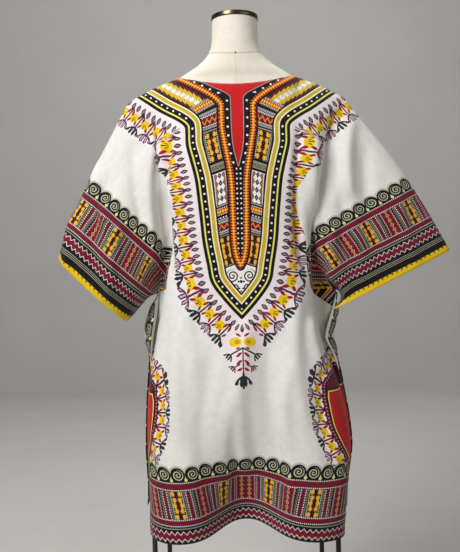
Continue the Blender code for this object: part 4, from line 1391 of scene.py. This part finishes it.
@dataclass
class Ties:
    """Two strips cut from the spiral border, hanging from the side seams."""

    cloth: bpy.types.Material
    rows: int = 120
    columns: int = 10
    border_from: float = 108.5
    scale_across: float = 0.47
    scale_along: float = 0.75

    def grid(self, side: str) -> ClothGrid:
        """Return one tie's grid with its print measures."""
        way = -1 if side == "left" else 1
        table = TIES[side]
        drops = np.linspace(table.rows[0][0], table.rows[-1][0], self.rows + 1)
        row = table.at(drops)
        seam = BODY.at(-drops)["seam_" + side[0]]
        near = np.stack([way * (seam + row["near_out"]), row["near_y"], -drops], 1)
        far = np.stack([way * (seam + row["far_out"]), row["far_y"], -drops], 1)
        share = np.linspace(0, 1, self.columns + 1)[None, :, None]
        points = near[:, None] * (1 - share) + far[:, None] * share
        across, down = run_length(points, 1), run_length(points, 0)
        away = np.full(across.shape, FAR_AWAY)
        ripple = 0.5 * np.sin(down / 23.0 + across / 9.0) * np.sin(math.pi * share[..., 0])
        values = {name: away for name in ("orn_d", "chain", "placket", "hem")}
        values |= {name: 0 * away for name in ("orn_s", "orn_kind", "course", "reach")}
        values |= {"push": ripple, "cloth_u": across, "cloth_v": down, "x": points[..., 0],
                   "h": points[..., 2], "cuff_along": self.scale_along * down,
                   "cuff": (CUFF_MARGIN + self.border_from + self.scale_across * across) / CUFF_SCALE}
        return ClothGrid(points, values, way < 0)

    def build(self) -> None:
        """Build and dress both ties."""
        for side in ("left", "right"):
            grid = self.grid(side)
            piece, area = build_cloth(f"tie_{side}_cloth", [grid], CLOTH_THICK)
            dress(piece, self.cloth, "printed_cotton", "tie_" + side)
            wide = float(run_length(grid.points, 1)[:, -1].max()) * MM
            long = float(run_length(grid.points, 0)[-1].max()) * MM
            LOG.info("tie_%s_cloth: %.3f x %.3f m", side, wide, long)


def add_mesh(name: str, points: np.ndarray, faces: list[tuple[int, ...]]) -> bpy.types.Object:
    """Add a smooth mesh object from points in millimetres above the form's foot."""
    mesh = bpy.data.meshes.new(name)
    mesh.from_pydata(((points + AXIS) * MM).tolist(), [], faces)
    mesh.shade_smooth()
    piece = bpy.data.objects.new(name, mesh)
    bpy.context.scene.collection.objects.link(piece)
    return piece


@dataclass
class DressForm:
    """The padded body with its neck under the tunic."""

    cover: bpy.types.Material
    round_count: int = 72
    row_step: float = 8.0

    def build(self) -> None:
        """Loft the body through its sections and dress it."""
        rows = np.array(FORM.rows)
        heights = np.unique(np.r_[np.arange(rows[0, 0], rows[-1, 0], self.row_step), rows[:, 0]])
        section = FORM.at(heights)
        turn = np.linspace(0, 2 * math.pi, self.round_count + 1)[:-1]
        c, s = np.cos(turn), np.sin(turn)
        power = 2 / section["power"][:, None]
        depth = np.where(s > 0, section["front"][:, None], section["back"][:, None])
        x = section["half"][:, None] * np.sign(c) * np.abs(c) ** power
        y = depth * np.sign(s) * np.abs(s) ** power
        z = np.broadcast_to(heights[:, None], x.shape)
        points = np.stack([x, y, z], 2).reshape(-1, 3)
        count, levels = self.round_count, len(heights)
        faces = [tuple(reversed(range(count)))]
        for i in range(levels - 1):
            for j in range(count):
                k = (j + 1) % count
                faces.append((i * count + j, i * count + k, (i + 1) * count + k, (i + 1) * count + j))
        faces.append(tuple(range((levels - 1) * count, levels * count)))
        piece = add_mesh("form_cover", points, faces)
        piece.data.set_sharp_from_angle(angle=math.radians(50))
        dress(piece, self.cover, "form_cloth", "form_torso")


def finish_piece(name: str, bevel: float, angle: float = 35.0) -> bpy.types.Object:
    """Round the active primitive's edges, bake its place into its mesh and name it."""
    piece = bpy.context.object
    piece.name = name
    bpy.ops.object.transform_apply(location=True, rotation=True, scale=True)
    if bevel:
        edges = piece.modifiers.new("edges", "BEVEL")
        edges.width = bevel * MM
        edges.segments = 3
        edges.limit_method = "ANGLE"
        bpy.ops.object.modifier_apply(modifier=edges.name)
    bpy.ops.object.shade_smooth_by_angle(angle=math.radians(angle))
    piece.select_set(False)
    return piece


def add_round(place: tuple[float, float, float], radius: float, height: float, sides: int = 32) -> None:
    """Add a capped cylinder primitive standing on a place in millimetres."""
    bpy.ops.object.select_all(action="DESELECT")
    x, y, z = place
    bpy.ops.mesh.primitive_cylinder_add(
        vertices=sides, radius=radius * MM, depth=height * MM,
        location=((x + AXIS[0]) * MM, (y + AXIS[1]) * MM, (z + height / 2) * MM))


def select_faces_by_height(level: float) -> None:
    """Select the edited mesh's faces whose middle lies at a world height in metres."""
    piece = bpy.context.object
    shape = bmesh.from_edit_mesh(piece.data)
    for face in shape.faces:
        middle = piece.matrix_world @ face.calc_center_median()
        face.select_set(abs(middle.z - level) < 1e-5)
    bmesh.update_edit_mesh(piece.data)


def select_edges(test: Callable[[Any, Any], bool]) -> None:
    """Select the edited mesh's edges whose two ends pass a test."""
    mesh = bpy.context.object.data
    shape = bmesh.from_edit_mesh(mesh)
    for edge in shape.edges:
        edge.select_set(test(*(vertex.co for vertex in edge.verts)))
    bmesh.update_edit_mesh(mesh)


@dataclass
class Stand:
    """The neck's cap, the plate under the form, its four rods and their feet."""

    metal: bpy.types.Material
    cap_metal: bpy.types.Material
    rubber: bpy.types.Material
    plate_thick: float = 11.0
    plate_round: float = 12.0
    plate_margin: float = 6.0       # past the rods' middles
    cap_height: float = 9.0
    cap_over: float = 1.2           # past the neck's edge
    touch: float = 0.3
    rod: float = 4.6
    foot: float = 7.5
    foot_height: float = 14.0
    foot_slope: float = 3.0         # height of its drawn-in top
    near: tuple[float, float] = (163.0, -58.0)
    far: tuple[float, float] = (149.0, 90.0)

    def build(self) -> None:
        """Model, dress and place every hard piece."""
        self.build_cap()
        self.build_plate()
        for name, way, (x, y) in (("far_left", -1, self.far), ("near_left", -1, self.near),
                                  ("near_right", 1, self.near), ("far_right", 1, self.far)):
            self.build_rod(name, way * x, y)
            self.build_foot(name, way * x, y)

    def build_cap(self) -> None:
        """Turn the neck's flat cap with its low crown."""
        row = FORM.rows[-1]
        low = HEM_HEIGHT + row[0] + self.touch
        radius = row[1] + self.cap_over
        add_round((0, (row[3] - row[2]) / 2, low), radius, self.cap_height, 64)
        bpy.context.object.scale.y = ((row[2] + row[3]) / 2 + self.cap_over) / radius
        bpy.ops.object.mode_set(mode="EDIT")
        bpy.ops.mesh.select_all(action="DESELECT")
        select_faces_by_height((low + self.cap_height) * MM)
        bpy.ops.mesh.inset(thickness=4 * MM)
        bpy.ops.mesh.inset(thickness=14 * MM)
        bpy.ops.transform.translate(value=(0, 0, 3 * MM))
        bpy.ops.mesh.inset(thickness=12 * MM)
        bpy.ops.transform.translate(value=(0, 0, 1 * MM))
        bpy.ops.object.mode_set(mode="OBJECT")
        dress(finish_piece("neck_cap_metal", 1.4, 60), self.cap_metal, "black_metal", "neck_cap")

    def build_plate(self) -> None:
        """Shape the plate, its round corners following the four rods."""
        top = HEM_HEIGHT + FORM.rows[0][0] - self.touch
        middle = (AXIS[0] * MM, AXIS[1] * MM, (top - self.plate_thick / 2) * MM)
        bpy.ops.object.select_all(action="DESELECT")
        bpy.ops.mesh.primitive_cube_add(size=1, location=middle)
        bpy.ops.object.transform_apply(location=True, rotation=False, scale=False)
        for vertex in bpy.context.object.data.vertices:
            right, back, upper = (vertex.co[k] > middle[k] for k in range(3))
            x, y = self.far if back else self.near
            vertex.co.x = (AXIS[0] + (1 if right else -1) * (x + self.plate_margin)) * MM
            vertex.co.y = (AXIS[1] + y + (self.plate_margin if back else -self.plate_margin)) * MM
            vertex.co.z = (top - (0 if upper else self.plate_thick)) * MM
        bpy.ops.object.mode_set(mode="EDIT")
        bpy.ops.mesh.select_all(action="DESELECT")
        select_edges(lambda a, b: abs(a.x - b.x) < 1e-6 and abs(a.y - b.y) < 1e-6)
        bpy.ops.mesh.bevel(offset=self.plate_round * MM, segments=8)
        bpy.ops.object.mode_set(mode="OBJECT")
        dress(finish_piece("stand_plate_metal", 1.0), self.metal, "black_metal", "stand_plate")

    def build_rod(self, name: str, x: float, y: float) -> None:
        """Model one rod from its foot to the plate."""
        low = self.foot_height + self.touch
        top = HEM_HEIGHT + FORM.rows[0][0] - 2 * self.touch - self.plate_thick
        add_round((x, y, low), self.rod, top - low)
        dress(finish_piece(f"rod_{name}", 0.5), self.metal, "black_metal", "leg_" + name)

    def build_foot(self, name: str, x: float, y: float) -> None:
        """Model one rubber foot, drawn in towards its rod."""
        rim = self.foot_height - self.foot_slope
        add_round((x, y, 0), self.foot, rim)
        bpy.ops.object.mode_set(mode="EDIT")
        bpy.ops.mesh.select_all(action="DESELECT")
        select_faces_by_height(rim * MM)
        lift = {"value": (0, 0, self.foot_slope * MM)}
        bpy.ops.mesh.extrude_region_move(TRANSFORM_OT_translate=lift)
        share = (self.rod + 0.8) / self.foot
        bpy.ops.transform.resize(value=(share, share, 1))
        bpy.ops.object.mode_set(mode="OBJECT")
        dress(finish_piece(f"foot_{name}_rubber", 0.8), self.rubber, "rubber", "foot_" + name)


# Each light's name, place, aim, size in metres and power in watts
LIGHTS = (
    ("key", (-1.5, -1.9, 2.1), (0.0, 0.0, 0.75), 1.1, 70.0),
    ("fill", (1.9, -1.6, 1.2), (0.0, 0.0, 0.7), 1.8, 11.0),
    ("top", (0.0, 0.2, 2.9), (0.0, 0.0, 0.6), 1.4, 20.0),
    ("wall", (0.0, 1.4, 3.3), (0.0, 3.8, 0.8), 2.4, 42.0),
)


@dataclass
class Studio:
    """The pale floor and wall, the soft lights and the camera, in metres."""

    lens: float = 52.9
    eye: tuple[float, float, float] = (-0.046, -1.505, 0.76)
    roll: float = 1.3
    sky: tuple[float, float, float, float] = (0.92, 0.95, 1.0, 1.0)
    sky_strength: float = 0.62
    floor_size: float = 12.0
    floor_middle: float = -2.2
    wall_height: float = 6.0
    corner: float = 1.4

    def build(self) -> None:
        """Build the backdrop, the lights and the camera."""
        scene = bpy.context.scene
        self.build_backdrop()
        for light in LIGHTS:
            self.add_light(*light)
        scene.world = bpy.data.worlds.new("soft_room")
        scene.world.use_nodes = True
        background = scene.world.node_tree.nodes["Background"]
        background.inputs[0].default_value = self.sky
        background.inputs[1].default_value = self.sky_strength
        bpy.ops.object.camera_add(location=self.eye, rotation=(math.pi / 2, math.radians(self.roll), 0))
        scene.camera = bpy.context.object
        scene.camera.data.lens = self.lens
        scene.camera.data.sensor_width = 36.0
        scene.camera.data.sensor_fit = "AUTO"
        scene.camera.data.clip_start = 0.05
        scene.view_settings.view_transform = "Standard"

    def build_backdrop(self) -> None:
        """Model the floor and wall as one sweep with a soft corner."""
        bpy.ops.object.select_all(action="DESELECT")
        bpy.ops.mesh.primitive_plane_add(size=self.floor_size, location=(0, self.floor_middle, 0))
        piece = bpy.context.object
        piece.name = "backdrop"
        far_edge = self.floor_size / 2 - 0.1
        bpy.ops.object.mode_set(mode="EDIT")
        select_edges(lambda a, b: min(a.y, b.y) > far_edge)
        rise = {"value": (0, 0, self.wall_height)}
        bpy.ops.mesh.extrude_region_move(TRANSFORM_OT_translate=rise)
        bpy.ops.mesh.select_all(action="DESELECT")
        select_edges(lambda a, b: min(a.y, b.y) > far_edge and max(abs(a.z), abs(b.z)) < 1e-4)
        bpy.ops.mesh.bevel(offset=self.corner, segments=16)
        bpy.ops.object.mode_set(mode="OBJECT")
        bpy.ops.object.transform_apply(location=True, rotation=True, scale=True)
        bpy.ops.object.shade_smooth()
        material, board, shader = new_material("backdrop_paper")
        tone = board.noise(board.node("ShaderNodeTexCoord").outputs["Object"], 3.0)
        board.feed(shader.inputs["Base Color"],
                   board.paint(tint("C2C0BC"), tint("B6B4B0"), tone.scaled(1.0, -0.2, clamp=True)))
        shader.inputs["Roughness"].default_value = 0.9
        piece.data.materials.append(material)

    @staticmethod
    def add_light(name: str, place: tuple[float, ...], aim: tuple[float, ...], size: float,
                  power: float) -> None:
        """Add a square soft light that faces its aim."""
        bpy.ops.object.light_add(type="AREA", location=place)
        light = bpy.context.object
        light.name = name
        light.data.size = size
        light.data.energy = power
        way = Vector(aim) - Vector(place)
        light.rotation_euler = way.to_track_quat("-Z", "Y").to_euler()


def main() -> None:
    """Build every sub-assembly in order and note the sizes."""
    logging.basicConfig(level=logging.INFO, format="%(message)s")
    cotton = PrintedCotton().build()
    DressForm(FormJersey().build()).build()
    Tunic(cotton, {"back": (1.06, 0.83), "front": (1.06, 0.81)}).build()
    Ties(cotton).build()
    Stand(CoatedMetal(MetalTone.BLACK).build(), CoatedMetal(MetalTone.CAP).build(),
          FootRubber().build()).build()
    Studio().build()
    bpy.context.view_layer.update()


if __name__ == "__main__":
    main()
